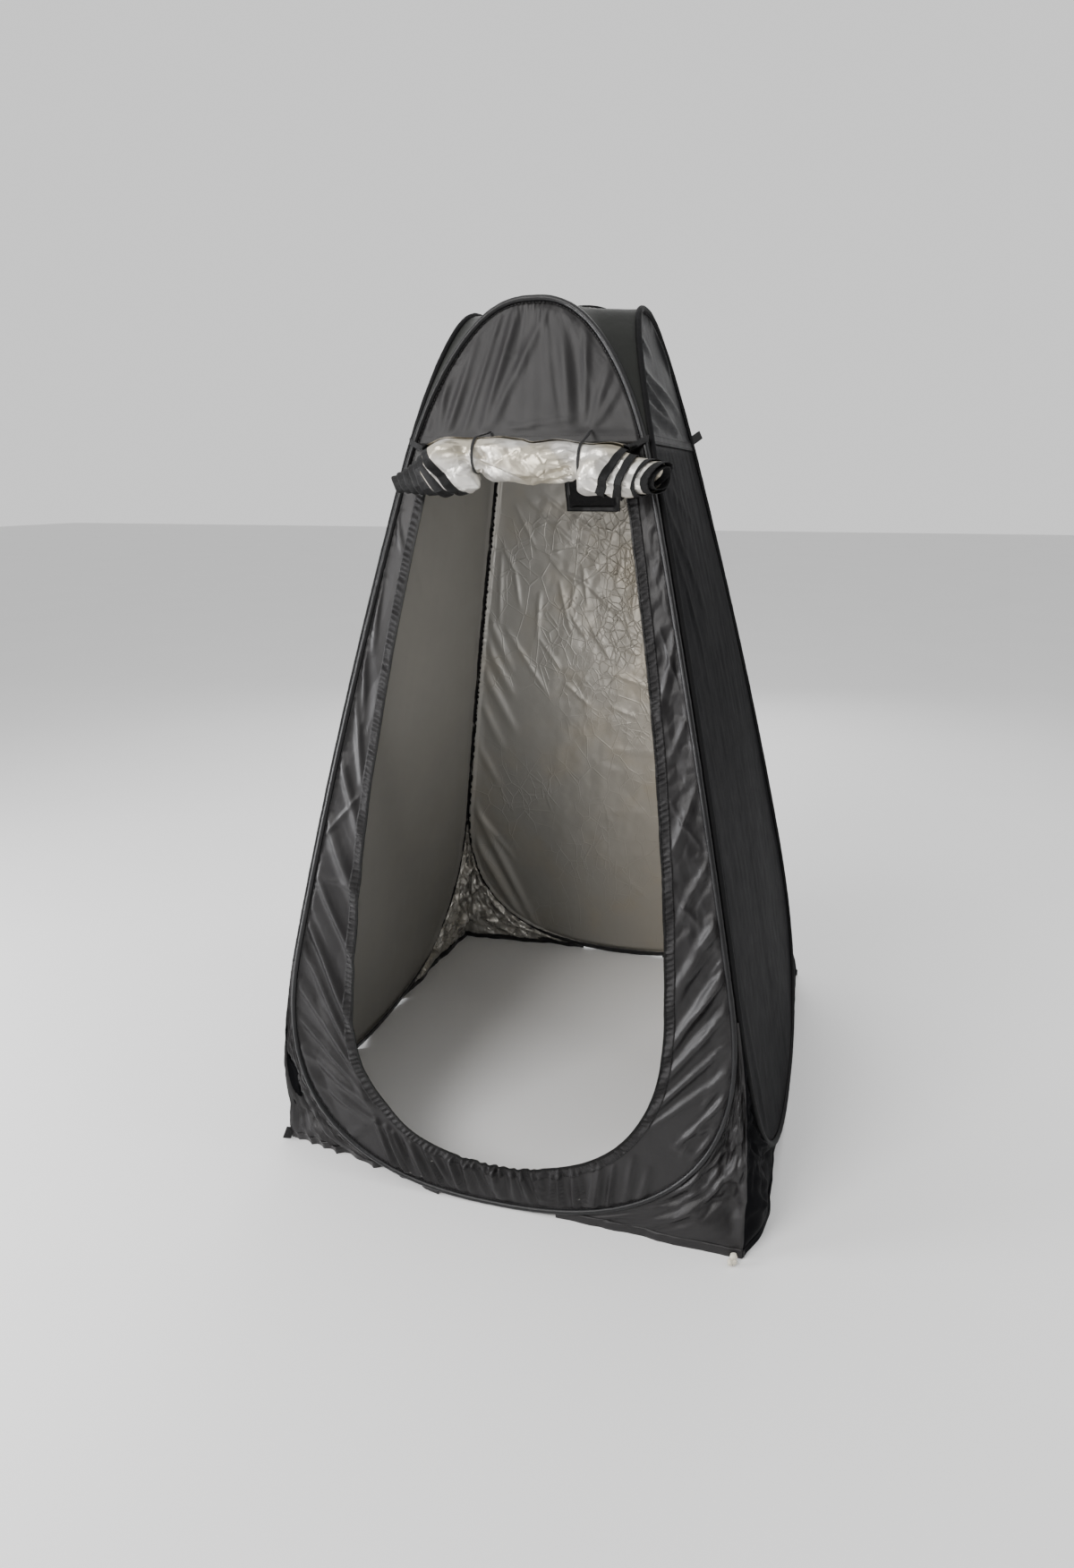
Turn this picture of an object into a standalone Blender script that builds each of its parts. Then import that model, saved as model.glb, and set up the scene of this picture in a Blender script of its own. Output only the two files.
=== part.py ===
"""A pop-up toilet tent: four sprung hoops, one to a side, sewn together along the corners,
with cloth walls, a roof between the arches, corner gussets at the ground and a rolled-up door."""

import math

import bmesh
import bpy
from mathutils import Vector

# Frame of the tent, in metres, measured to the centre line of the sewn hoops
BASE_HALF = 0.608
LEAN = 0.2219
BELLY = 0.022
TOP = 1.893
BACK_TOP = 1.932
SHOULDER = 1.547
KNEE = 0.554
ARCH_POWER = 2.517
FOOT_POWER = 2.345
SLEEVE = 0.007
HOOP_SIDES = 8
SEAM_INSET = 0.0102
APEX_FLAT = 0.03
FOOT_FLAT = 0.04
ARCH_STEPS = 8
SIDE_STEPS = 6
FOOT_STEPS = 8

# Cloth
CLOTH = 0.002
GAP = 0.0003
EDGE_GAP = 0.0005
RING = 1.617
ROOF_TAIL_WIDTH = 0.008
ROOF_SAG = 0.006
ROOF_COLUMNS = 4

# Doorway in the front wall
DOOR_HALF = 0.36
DOOR_WIDE_Z = 0.44
DOOR_SILL = 0.097
DOOR_POWER = 2.3
DOOR_TAPER = 0.1271
DOOR_TAPER_POWER = 1.6
DOOR_FLAT = 0.03
ZIP_TAPE = 0.03
WALL_COLUMNS = 3

# Gussets and hems that meet the ground
GUSSET_TOP = 0.5
GROUND_CORNERS = {
    "front_right": (0.556, -0.594),
    "back_right": (0.578, 0.582),
    "back_left": (-0.573, 0.59),
    "front_left": (-0.577, -0.518),
}
WING_COLUMNS = 2
HEM = 0.015
HEM_THICK = 0.003

# Window in the back wall
WINDOW_X = -0.01
WINDOW_HALF = 0.07
WINDOW_LOW = 1.475
WINDOW_HIGH = 1.6
BINDING = 0.012
BINDING_THICK = 0.003
WINDOW_MESH_THICK = 0.0015
FLAP_MARGIN = 0.013
FLAP_GAP = 0.0005

# Rolled door
ROLL_Y = -0.335
ROLL_LEFT = (-0.278, 1.537)
ROLL_RIGHT = (0.32, 1.552)
ROLL_SIDES = 16
ROLL_TIP = 0.013
ROLL_FULL = 0.047
ROLL_MIDDLE = 0.041
ROLL_PINCH = 0.035
PINCH_SPREAD = 0.022
CONE_LENGTH = 0.085
TIE_X = (-0.084, 0.131)
TIE_WIDTH = 0.006
TIE_THICK = 0.0012
TIE_HIGH = 1.643
NECK_HALF = 0.195

# Webbing tabs
TAB_LENGTH = 0.025
TAB_WIDTH = 0.02
TAB_THICK = 0.003
GUY_TAB_START = 0.0025
PEG_TAB_START = 0.0027
KNOT = 0.009

NORMALS = {"front": (0, -1), "right": (1, 0), "back": (0, 1), "left": (-1, 0)}
CORNERS = {
    "front_right": ("front", "right"),
    "back_right": ("right", "back"),
    "back_left": ("back", "left"),
    "front_left": ("left", "front"),
}


def clear_scene():
    for obj in list(bpy.data.objects):
        bpy.data.objects.remove(obj, do_unlink=True)


def material(name, color, roughness, metallic=0.0):
    made = bpy.data.materials.new(name)
    made.use_nodes = True
    shader = made.node_tree.nodes["Principled BSDF"]
    shader.inputs["Base Color"].default_value = (*color, 1.0)
    shader.inputs["Roughness"].default_value = roughness
    shader.inputs["Metallic"].default_value = metallic
    return made


def spread(z):
    """Distance from the tent's axis to a wall at a height."""
    return BASE_HALF - LEAN * z + BELLY * math.sin(math.pi * z / TOP)


def on_wall(face, s, z, out=0.0):
    """Point on a wall, s along it and out from it."""
    nx, ny = NORMALS[face]
    away = spread(z) + out
    return Vector((nx * away - ny * s, ny * away + nx * s, z))


def arc(angle, power):
    """Point of a unit superellipse, from its side to its top."""
    return abs(math.cos(angle)) ** (2 / power), math.sin(angle) ** (2 / power)


def hoop_half(face):
    """Right half of a hoop's centre line, from its top down, as (s, z) points."""
    top = BACK_TOP if face == "back" else TOP
    points = [(APEX_FLAT, top)]
    for step in range(1, ARCH_STEPS):
        across, up = arc(math.pi / 2 * (1 - step / ARCH_STEPS), ARCH_POWER)
        z = SHOULDER + (top - SHOULDER) * up
        points.append(((spread(z) - SEAM_INSET) * across, z))
    for step in range(SIDE_STEPS):
        z = SHOULDER + (KNEE - SHOULDER) * step / SIDE_STEPS
        points.append((spread(z) - SEAM_INSET, z))
    for step in range(FOOT_STEPS):
        across, down = arc(math.pi / 2 * step / FOOT_STEPS, FOOT_POWER)
        z = KNEE - (KNEE - SLEEVE) * down
        points.append(((spread(z) - SEAM_INSET) * across, z))
    points.append((FOOT_FLAT, SLEEVE))
    return points


def both_halves(half):
    """Closed outline from its right half, clockwise."""
    return half + [(-s, z) for s, z in reversed(half)]


def moved_outline(ring, distance):
    """Closed outline moved outward by a distance, its edges still parallel."""
    moved = []
    for before, here, after in zip(ring[-1:] + ring[:-1], ring, ring[1:] + ring[:1]):
        came = (Vector(here) - Vector(before)).normalized()
        goes = (Vector(after) - Vector(here)).normalized()
        along = (came + goes).normalized()
        side = Vector((-along.y, along.x))
        reach = distance / side.dot(Vector((-came.y, came.x)))
        moved.append(tuple(Vector(here) + side * reach))
    return moved


def moved_half(half, distance):
    return moved_outline(both_halves(half), distance)[: len(half)]


def half_width_at(half, z):
    """Half width of an outline at a height, between its points."""
    for (s0, z0), (s1, z1) in zip(half, half[1:]):
        if z1 <= z <= z0:
            return s0 + (s1 - s0) * (z0 - z) / (z0 - z1)
    raise ValueError(f"the outline does not reach {z}")


def rows_from(half, high=None, low=None):
    """Points of an outline's right half between two heights, cut level at each."""
    rows = [(s, z) for s, z in half if (high is None or z < high) and (low is None or z > low)]
    if high is not None:
        rows.insert(0, (half_width_at(half, high), high))
    if low is not None:
        rows.append((half_width_at(half, low), low))
    return rows


def loft(mesh, rings, around, along=False):
    """Faces between neighbouring rings of vertices."""
    following = rings[1:] + rings[:1] if along else rings[1:]
    for ring, after in zip(rings, following):
        count = len(ring)
        for i in range(count if around else count - 1):
            j = (i + 1) % count
            mesh.faces.new((ring[i], ring[j], after[j], after[i]))


def add_object(name, mesh, surface, smooth=False):
    bmesh.ops.recalc_face_normals(mesh, faces=mesh.faces)
    data = bpy.data.meshes.new(name)
    mesh.to_mesh(data)
    mesh.free()
    if smooth:
        data.shade_smooth()
        data.set_sharp_from_angle(angle=math.radians(50))
    data.materials.append(surface)
    made = bpy.data.objects.new(name, data)
    bpy.context.scene.collection.objects.link(made)
    return made


def sheet(name, rows, surface, thickness=CLOTH):
    """Cloth through rows of points, given its thickness to both sides."""
    mesh = bmesh.new()
    loft(mesh, [[mesh.verts.new(p) for p in row] for row in rows], around=False)
    made = add_object(name, mesh, surface)
    solid = made.modifiers.new("thickness", "SOLIDIFY")
    solid.thickness = thickness
    solid.offset = 0
    solid.use_even_offset = True
    return made


def between(start, end, steps):
    return [start.lerp(end, i / steps) for i in range(steps + 1)]


def hoop(face, surface):
    """Sprung hoop in its sleeve: a closed tube with a flat side down where it stands."""
    out = Vector((*NORMALS[face], 0))
    centres = [on_wall(face, s, z) for s, z in both_halves(hoop_half(face))]
    mesh = bmesh.new()
    rings = []
    radius = SLEEVE / math.cos(math.pi / HOOP_SIDES)
    for before, here, after in zip(centres[-1:] + centres[:-1], centres, centres[1:] + centres[:1]):
        along = (after - before).normalized()
        first = (out - along * out.dot(along)).normalized()
        second = along.cross(first)
        turns = [math.tau * (k + 0.5) / HOOP_SIDES for k in range(HOOP_SIDES)]
        spots = [here + (first * math.cos(a) + second * math.sin(a)) * radius for a in turns]
        rings.append([mesh.verts.new(p) for p in spots])
    loft(mesh, rings, around=True, along=True)
    add_object(f"{face}_hoop", mesh, surface, smooth=True)


def inner_half(face):
    """Where the cloth inside a hoop ends, beside the sleeve."""
    return moved_half(hoop_half(face), -(SLEEVE + EDGE_GAP))


def outer_half(face):
    """Where a gusset outside a hoop ends, beside the sleeve."""
    return moved_half(hoop_half(face), SLEEVE + EDGE_GAP)


def level_rows(face, rows):
    return [[on_wall(face, -s, z), on_wall(face, s, z)] for s, z in rows]


def upper_panel(face, surface):
    rows = rows_from(inner_half(face), low=RING + GAP / 2)
    sheet(f"{face}_upper_panel", level_rows(face, rows), surface)


def lower_panel(face, surface):
    rows = rows_from(inner_half(face), high=RING - GAP / 2)
    return sheet(f"{face}_lower_panel", level_rows(face, rows), surface)


def door_point(t):
    """Right edge of the doorway: t is 0 at the top seam, 1 where widest and 2 at the sill."""
    if t < 1:
        z = RING - t * (RING - DOOR_WIDE_Z)
        return DOOR_HALF - DOOR_TAPER * (z - DOOR_WIDE_Z) ** DOOR_TAPER_POWER, z
    across, down = arc(math.pi / 2 * (t - 1), DOOR_POWER)
    return max(DOOR_HALF * across, DOOR_FLAT), DOOR_WIDE_Z - (DOOR_WIDE_Z - DOOR_SILL) * down


def door_steps(rows):
    """Doorway parameter of each row of the wall around it."""
    knee = len(rows) - 1 - FOOT_STEPS
    knee_z = rows[knee][1]
    high = [(RING - z) / (RING - knee_z) for s, z in rows[:knee]]
    return high + [1 + step / FOOT_STEPS for step in range(FOOT_STEPS + 1)]


def door_edge(steps, distance):
    """Right half of the doorway's edge, moved into the wall by a distance."""
    above = -0.05
    half = [door_point(t) for t in [above] + steps]
    moved = moved_half(half, distance)
    high = RING - GAP / 2
    return [(half_width_at(moved, high), high)] + moved[2:]


def band_rows(outer, inner, columns):
    """Rows across a band on the front wall, round the doorway from right to left."""
    rows = []
    for (s0, z0), (s1, z1) in zip(both_halves(outer), both_halves(inner)):
        spots = between(Vector((s0, z0)), Vector((s1, z1)), columns)
        rows.append([on_wall("front", spot.x, spot.y) for spot in spots])
    return rows


def front_wall(surface, tape_surface):
    outer = rows_from(inner_half("front"), high=RING - GAP / 2)
    steps = door_steps(outer)
    wall_edge = door_edge(steps, ZIP_TAPE + GAP)
    sheet("front_lower_panel", band_rows(outer, wall_edge, WALL_COLUMNS), surface)
    tape = band_rows(door_edge(steps, ZIP_TAPE), door_edge(steps, 0.0), 1)
    sheet("door_zip_tape", tape, tape_surface)


def cut(target, low, high):
    """Take a box out of an object, as a Boolean with a hidden cutter."""
    mesh = bmesh.new()
    bmesh.ops.create_cube(mesh, size=1.0)
    bmesh.ops.scale(mesh, verts=mesh.verts, vec=[b - a for a, b in zip(low, high)])
    bmesh.ops.translate(mesh, verts=mesh.verts, vec=[(a + b) / 2 for a, b in zip(low, high)])
    cutter = add_object(f"{target.name}_cutter", mesh, target.data.materials[0])
    cutter.hide_render = True
    cutter.display_type = "WIRE"
    boolean = target.modifiers.new("opening", "BOOLEAN")
    boolean.operation = "DIFFERENCE"
    boolean.solver = "EXACT"
    boolean.object = cutter


def window_sheet(name, margin, surface, thickness, out=0.0):
    """Upright sheet on the back wall, larger than the window by a margin."""
    half = WINDOW_HALF + margin
    levels = between(Vector((0, WINDOW_HIGH + margin)), Vector((0, WINDOW_LOW - margin)), 2)
    rows = [
        [on_wall("back", s - WINDOW_X, level.y, out) for s in (-half, half)] for level in levels
    ]
    return sheet(name, rows, surface, thickness)


def window(wall, mesh_surface, tape_surface, cloth_surface):
    low, high = WINDOW_LOW, WINDOW_HIGH
    deep = (0.2, 0.4)
    cut(wall, (WINDOW_X - WINDOW_HALF, deep[0], low), (WINDOW_X + WINDOW_HALF, deep[1], high))
    binding = window_sheet("window_binding", -GAP, tape_surface, BINDING_THICK)
    inside = WINDOW_HALF - BINDING
    cut(
        binding,
        (WINDOW_X - inside, deep[0], low + BINDING),
        (WINDOW_X + inside, deep[1], high - BINDING),
    )
    window_sheet("window_mesh", -BINDING - GAP, mesh_surface, WINDOW_MESH_THICK)
    out = BINDING_THICK / 2 + CLOTH / 2 + FLAP_GAP
    window_sheet("window_flap", FLAP_MARGIN, cloth_surface, CLOTH, out)


def corner_point(corner, z, slack=0.0):
    """Point on the vertical seam of a corner, drawn in by a slack."""
    first, second = (Vector(NORMALS[face]) for face in CORNERS[corner])
    across = (first + second) * (spread(z) - slack)
    return Vector((across.x, across.y, z))


def ground_corner(corner, z):
    """Point on the corner seam of a ground gusset, which hangs slack towards the ground."""
    taut, x, y = corner_point(corner, z), *GROUND_CORNERS[corner]
    share = 1 - z / GUSSET_TOP
    away = spread(0)
    slack = Vector((x - math.copysign(away, x), y - math.copysign(away, y), 0))
    return taut + slack * share**2


def gusset_row(corner, s, z):
    """Across a ground gusset at a height: one wing, the corner seam, the other wing."""
    first, second = CORNERS[corner]
    seam = ground_corner(corner, z)
    one = between(on_wall(first, s, z), seam, WING_COLUMNS)
    other = between(seam, on_wall(second, -s, z), WING_COLUMNS)
    return one + other[1:]


def corner_gusset(corner, surface, hem_surface):
    half = outer_half("front")
    rows = rows_from(half, high=GUSSET_TOP, low=HEM + EDGE_GAP)
    sheet(f"{corner}_gusset", [gusset_row(corner, s, z) for s, z in rows], surface)
    reach = rows[-1][0]
    hem = [gusset_row(corner, reach, z) for z in (HEM - GAP, 0.0)]
    sheet(f"{corner}_hem", hem, hem_surface, HEM_THICK)


def roof_row(corner, index):
    """From one arch to the next across a corner, clear of both sleeves, or None if too narrow."""
    faces = CORNERS[corner]
    ends = []
    for face, side in zip(faces, (1, -1)):
        half = hoop_half(face)
        s, z = half[index]
        before, after = half[max(index - 1, 0)], half[index + 1]
        if index == 0:
            before = (-half[0][0], half[0][1])
        along = on_wall(face, side * after[0], after[1]) - on_wall(face, side * before[0], before[1])
        ends.append((on_wall(face, side * s, z), along.normalized()))
    across = ends[1][0] - ends[0][0]
    direction = across.normalized()
    clear = [
        (SLEEVE / math.cos(math.pi / HOOP_SIDES) + EDGE_GAP) / direction.cross(along).length
        for spot, along in ends
    ]
    if across.length - sum(clear) < ROOF_TAIL_WIDTH:
        return None
    start = ends[0][0] + direction * clear[0]
    end = ends[1][0] - direction * clear[1]
    row = between(start, end, ROOF_COLUMNS)
    width = (end - start).length
    inward = Vector((-start.x - end.x, -start.y - end.y, 0)).normalized() - Vector((0, 0, 1))
    for i, spot in enumerate(row):
        dip = math.sin(math.pi * i / ROOF_COLUMNS)
        spot += inward.normalized() * ROOF_SAG * dip * min(1.0, width / BASE_HALF * 2)
    return row


def roof(surface):
    """One cloth over the top: a tail down each corner, joined round the middle."""
    mesh = bmesh.new()
    rim = []
    for corner in CORNERS:
        rows = [roof_row(corner, index) for index in range(ARCH_STEPS)]
        rings = [[mesh.verts.new(p) for p in row] for row in rows if row]
        loft(mesh, rings, around=False)
        rim += rings[0]
    low = min(v.co.z for v in rim)
    middle = mesh.verts.new((0, 0, low - ROOF_SAG))
    for i, vert in enumerate(rim):
        mesh.faces.new((middle, vert, rim[(i + 1) % len(rim)]))
    made = add_object("roof_panel", mesh, surface)
    solid = made.modifiers.new("thickness", "SOLIDIFY")
    solid.thickness = CLOTH
    solid.offset = 0
    solid.use_even_offset = True


def roll_radius(x):
    """Radius of the rolled door along the tent's width."""
    if x < ROLL_LEFT[0] + CONE_LENGTH:
        share = (x - ROLL_LEFT[0]) / CONE_LENGTH
        return ROLL_TIP + (ROLL_FULL - ROLL_TIP) * share**0.7
    full = ROLL_MIDDLE if TIE_X[0] < x < TIE_X[1] else ROLL_FULL
    beside = max(min(abs(x - tie) for tie in TIE_X) - TIE_WIDTH, 0)
    return full - (full - ROLL_PINCH) * math.exp(-((beside / PINCH_SPREAD) ** 2))


def roll_centre(x):
    share = (x - ROLL_LEFT[0]) / (ROLL_RIGHT[0] - ROLL_LEFT[0])
    return Vector((x, ROLL_Y, ROLL_LEFT[1] + (ROLL_RIGHT[1] - ROLL_LEFT[1]) * share))


def roll_stations():
    """Where the roll's rings stand: close together beside the ties."""
    left, right = ROLL_LEFT[0], ROLL_RIGHT[0]
    stations = {left + CONE_LENGTH * share for share in (0, 0.25, 0.6, 1)}
    stations |= {right, right - 0.07}
    stations.add((TIE_X[0] + TIE_X[1]) / 2)
    for tie in TIE_X:
        for side in (-1, 1):
            stations |= {tie + side * (TIE_WIDTH + PINCH_SPREAD * share) for share in (0, 0.8, 1.8)}
    return sorted(stations)


def door_roll(surface):
    """Rolled door with the flat stretch that carries it from the seam above the doorway."""
    mesh = bmesh.new()
    rings = []
    for x in roll_stations():
        centre, radius = roll_centre(x), roll_radius(x)
        turns = [math.tau * k / ROLL_SIDES for k in range(ROLL_SIDES)]
        spots = [centre + Vector((0, math.cos(a), math.sin(a))) * radius for a in turns]
        rings.append([mesh.verts.new(p) for p in spots])
    loft(mesh, rings, around=True)
    mesh.faces.new(rings[0])
    mesh.faces.new(rings[-1])
    made = add_object("door_roll", mesh, surface, smooth=True)
    seam = on_wall("front", 0, RING - GAP).y - CLOTH / 2
    high, deep = RING - CLOTH, roll_centre(0).z
    neck = sheet(
        "door_neck",
        [[Vector((x, seam, high)), Vector((x, ROLL_Y, deep))] for x in (-NECK_HALF, NECK_HALF)],
        surface,
    )
    neck.hide_render = True
    neck.display_type = "WIRE"
    join = made.modifiers.new("neck", "BOOLEAN")
    join.operation = "UNION"
    join.solver = "EXACT"
    join.object = neck


def tie_path(x):
    """Elastic tie in the plane across the roll: down the front, under it and up behind."""
    turn = math.radians(20)
    centre = roll_centre(x)
    radius = (roll_radius(x) + 2 * GAP + TIE_THICK / 2) / math.cos(turn / 2)
    beside = CLOTH / 2 + EDGE_GAP + TIE_THICK / 2
    path = [on_wall("front", x, z, beside) for z in (TIE_HIGH, RING + 0.008)]
    for step in range(13):
        angle = math.radians(115) + step * turn
        path.append(centre + Vector((0, math.cos(angle), math.sin(angle))) * radius)
    path += [on_wall("front", x, z, -beside) for z in (RING - 0.006, TIE_HIGH)]
    return path


def door_tie(name, x, surface):
    reach = Vector((TIE_WIDTH / 2, 0, 0))
    sheet(name, [[p - reach, p + reach] for p in tie_path(x)], surface, TIE_THICK)


def seam_middle(corner, z):
    """Midway between the two sleeves of a corner."""
    return corner_point(corner, z, SEAM_INSET / 2)


def tab(name, corner, z, start, surface):
    """Folded webbing tab, pointing out from a corner."""
    out = corner_point(corner, z) - Vector((0, 0, z))
    out.normalize()
    rows = []
    for level in (z + TAB_WIDTH / 2, z - TAB_WIDTH / 2):
        root = seam_middle(corner, level) if z > KNEE else ground_corner(corner, level)
        rows.append([root + out * start, root + out * (start + TAB_LENGTH)])
    sheet(name, rows, surface, TAB_THICK)


def cord_knot(surface):
    """Short knotted cord end beside the front right peg tab."""
    root = ground_corner("front_right", KNOT)
    out = corner_point("front_right", 0).normalized()
    beside = Vector((out.y, -out.x, 0))
    centre = root + out * TAB_LENGTH * 0.3 + beside * (TAB_THICK / 2 + GAP + KNOT)
    mesh = bmesh.new()
    bmesh.ops.create_icosphere(mesh, subdivisions=2, radius=KNOT)
    bmesh.ops.translate(mesh, verts=mesh.verts, vec=centre)
    add_object("cord_knot", mesh, surface, smooth=True)


def build():
    clear_scene()
    outer_cloth = material("outer_cloth", (0.055, 0.05, 0.052), 0.5)
    roof_cloth = material("roof_cloth", (0.05, 0.05, 0.046), 0.55)
    sleeve = material("sleeve_binding", (0.012, 0.012, 0.013), 0.6)
    silver = material("silver_lining", (0.62, 0.61, 0.58), 0.35, 0.4)
    webbing = material("webbing", (0.015, 0.015, 0.016), 0.75)
    net = material("window_net", (0.01, 0.01, 0.011), 0.7)
    cord = material("cream_cord", (0.75, 0.72, 0.62), 0.85)
    for face in NORMALS:
        hoop(face, sleeve)
        upper_panel(face, outer_cloth)
    for face in ("right", "left"):
        lower_panel(face, outer_cloth)
    window(lower_panel("back", outer_cloth), net, sleeve, outer_cloth)
    front_wall(outer_cloth, sleeve)
    roof(roof_cloth)
    for corner in CORNERS:
        corner_gusset(corner, outer_cloth, sleeve)
        tab(f"{corner}_guy_tab", corner, RING, GUY_TAB_START, webbing)
        tab(f"{corner}_peg_tab", corner, TAB_WIDTH / 2, PEG_TAB_START, webbing)
    door_roll(silver)
    door_tie("door_tie_left", TIE_X[0], webbing)
    door_tie("door_tie_right", TIE_X[1], webbing)
    cord_knot(cord)


build()
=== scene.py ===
"""Looks of a pop-up toilet tent: cloth, sleeves, zip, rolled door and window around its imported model.

Laid out as a Blender add-on. Each operator dresses one group of pieces, in metres, +Z up.
"""

import math

import bmesh
import bpy
import numpy as np
from bpy.props import FloatProperty, FloatVectorProperty, PointerProperty
from bpy.types import Operator, Panel, PropertyGroup
from mathutils import Matrix, Vector, kdtree, noise


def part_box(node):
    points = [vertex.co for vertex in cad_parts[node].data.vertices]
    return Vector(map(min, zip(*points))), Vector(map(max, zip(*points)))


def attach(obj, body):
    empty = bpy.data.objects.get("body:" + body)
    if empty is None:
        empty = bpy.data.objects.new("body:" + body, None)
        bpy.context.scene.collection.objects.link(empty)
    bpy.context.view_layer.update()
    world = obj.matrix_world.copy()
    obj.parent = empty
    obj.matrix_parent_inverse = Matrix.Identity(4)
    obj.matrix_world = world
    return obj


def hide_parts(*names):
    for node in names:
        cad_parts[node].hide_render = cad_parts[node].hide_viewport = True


bl_info = {
    "name": "Pop-up toilet tent",
    "version": (1, 0, 0),
    "blender": (4, 5, 0),
    "location": "View3D > Sidebar > Tent",
    "description": "Dresses the packed tent in cloth, sleeves, zip, rolled door and window",
    "category": "Object",
}

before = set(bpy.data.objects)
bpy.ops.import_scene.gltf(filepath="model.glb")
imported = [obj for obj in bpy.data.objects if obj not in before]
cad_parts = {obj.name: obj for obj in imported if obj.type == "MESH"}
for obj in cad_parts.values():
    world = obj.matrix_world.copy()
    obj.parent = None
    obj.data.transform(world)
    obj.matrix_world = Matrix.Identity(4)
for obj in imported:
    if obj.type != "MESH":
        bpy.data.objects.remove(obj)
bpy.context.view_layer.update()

# Frame of the tent, to the middle of its sewn hoops
BASE_HALF = 0.608
LEAN = 0.2219
BELLY = 0.022
TOP = 1.893
BACK_TOP = 1.932
SHOULDER = 1.547
KNEE = 0.554
ARCH_POWER = 2.517
FOOT_POWER = 2.345
SLEEVE = 0.007
SEAM_INSET = 0.0102
SLEEVE_RADIUS = 0.0066
WALL_STEP = 0.006
WALL_REACH = 0.001
EDGING_TOP = 0.075
EDGING_WIDE = 0.018
EDGING_STEP = 0.0095
EDGING_THICK = 0.0006
HOOP_SEAM = 0.008
CORNER_TAPE_WIDE = 0.021
CORNER_TAPE_LOW, CORNER_TAPE_HIGH = 0.46, 1.58
CORNER_TAPE_DEEP = 0.0051
CORNER_TAPE_THICK = 0.001
RING = 1.617
RING_SEAMS = (0.005, 0.016)
NORMALS = {"front": (0, -1), "right": (1, 0), "back": (0, 1), "left": (-1, 0)}
CORNERS = {
    "front_right": ("front", "right"),
    "back_right": ("right", "back"),
    "back_left": ("back", "left"),
    "front_left": ("left", "front"),
}

# Doorway
DOOR_HALF = 0.36
DOOR_WIDE_Z = 0.44
DOOR_SILL = 0.097
DOOR_POWER = 2.3
DOOR_TAPER = 0.1271
DOOR_TAPER_POWER = 1.6
TAPE_SEEN = 0.022
TAPE_OVERLAP = 0.004
TAPE_SEAMS = (0.0065, 0.0195)
TAPE_PUCKER = 0.0125
COIL_IN = 0.0012
COIL_PITCH = 0.0028

# Ground gussets and hems
GUSSET_TOP = 0.5
GROUND_CORNERS = {
    "front_right": (0.556, -0.622),
    "back_right": (0.578, 0.582),
    "back_left": (-0.573, 0.59),
    "front_left": (-0.577, -0.518),
}
GUSSET_COLUMNS, GUSSET_ROWS = 84, 88
CRUMPLES = {"front_right": 0.013, "back_right": 0.010, "back_left": 0.019, "front_left": 0.015}
BULGES = {
    "front_right": (-0.012, 0.03),
    "back_right": (0.01, 0.01),
    "back_left": (0.0, 0.0),
    "front_left": (-0.012, -0.02),
}
HEM = 0.015
HEM_WIDE = 0.019
HEM_THICK = 0.0025
HEM_COLUMNS = 150

# Rolled door
ROLL_Y = -0.335
ROLL_LINE = (
    (-0.278, 1.537),
    (-0.18, 1.555),
    (-0.084, 1.598),
    (0.03, 1.577),
    (0.131, 1.586),
    (0.227, 1.556),
    (0.32, 1.552),
)
ROLL_FULL = 0.045
ROLL_MIDDLE = 0.041
ROLL_PINCH = 0.033
PINCH_SPREAD = 0.022
ROLL_TURNS = 7
ROLL_CORE = 0.016
ROLL_START = math.radians(95)
ROLL_TAPE = 0.0155
ROLL_TAPE_SHARE = 0.04
ROLL_COLUMNS, ROLL_ROWS = 150, 224
NECK_ROWS = 0.03
ROLL_SHEAR = 1.9
LEFT_ENDS = (-0.158, -0.177, -0.195, -0.209, -0.224, -0.24, -0.255, -0.266, -0.272)
RIGHT_ENDS = (0.210, 0.235, 0.273, 0.298, 0.287, 0.302, 0.289, 0.304, 0.306)
END_TILT = 0.6
ROLL_THICK = 0.0011
TIE_X = (-0.077, 0.138)
TIE_HIGH = 1.643
TIE_WIDE = 0.005
TIE_THICK = 0.0014
SEAM_Z = RING - 0.004

# Window
WINDOW_TAPE_OUT, WINDOW_TAPE_IN = 0.003, 0.011
WINDOW_TAPE_THICK = 0.0012
NET_INSET, NET_THICK = 0.006, 0.0006
FLAP_OVERLAP, FLAP_THICK = 0.013, 0.001

# Webbing and cord
TAB_LEG = 0.42
TAB_GAP = 0.0022
TAB_THICK = 0.0013
LOOP_THICK = 0.0012
KNOT_SPOT = (0.537, -0.64)

# Folds as (start, end, width, height), in metres along and up the wall
UPPER_FOLDS = (
    ((-0.035, 1.87), (-0.10, 1.635), 0.0104, 0.0038),
    ((0.03, 1.87), (-0.085, 1.64), 0.0112, 0.0034),
    ((-0.12, 1.81), (-0.18, 1.62), 0.0096, 0.0035),
    ((-0.07, 1.86), (-0.14, 1.63), 0.0072, 0.0021),
    ((-0.175, 1.79), (-0.195, 1.62), 0.0096, 0.0029),
    ((-0.21, 1.72), (-0.222, 1.62), 0.0064, 0.0021),
    ((0.065, 1.87), (0.088, 1.65), 0.0136, 0.0038),
    ((0.115, 1.85), (0.12, 1.66), 0.0088, 0.0035),
    ((0.17, 1.77), (0.128, 1.63), 0.0096, 0.0031),
    ((0.195, 1.73), (0.133, 1.635), 0.0088, 0.0028),
)
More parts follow.
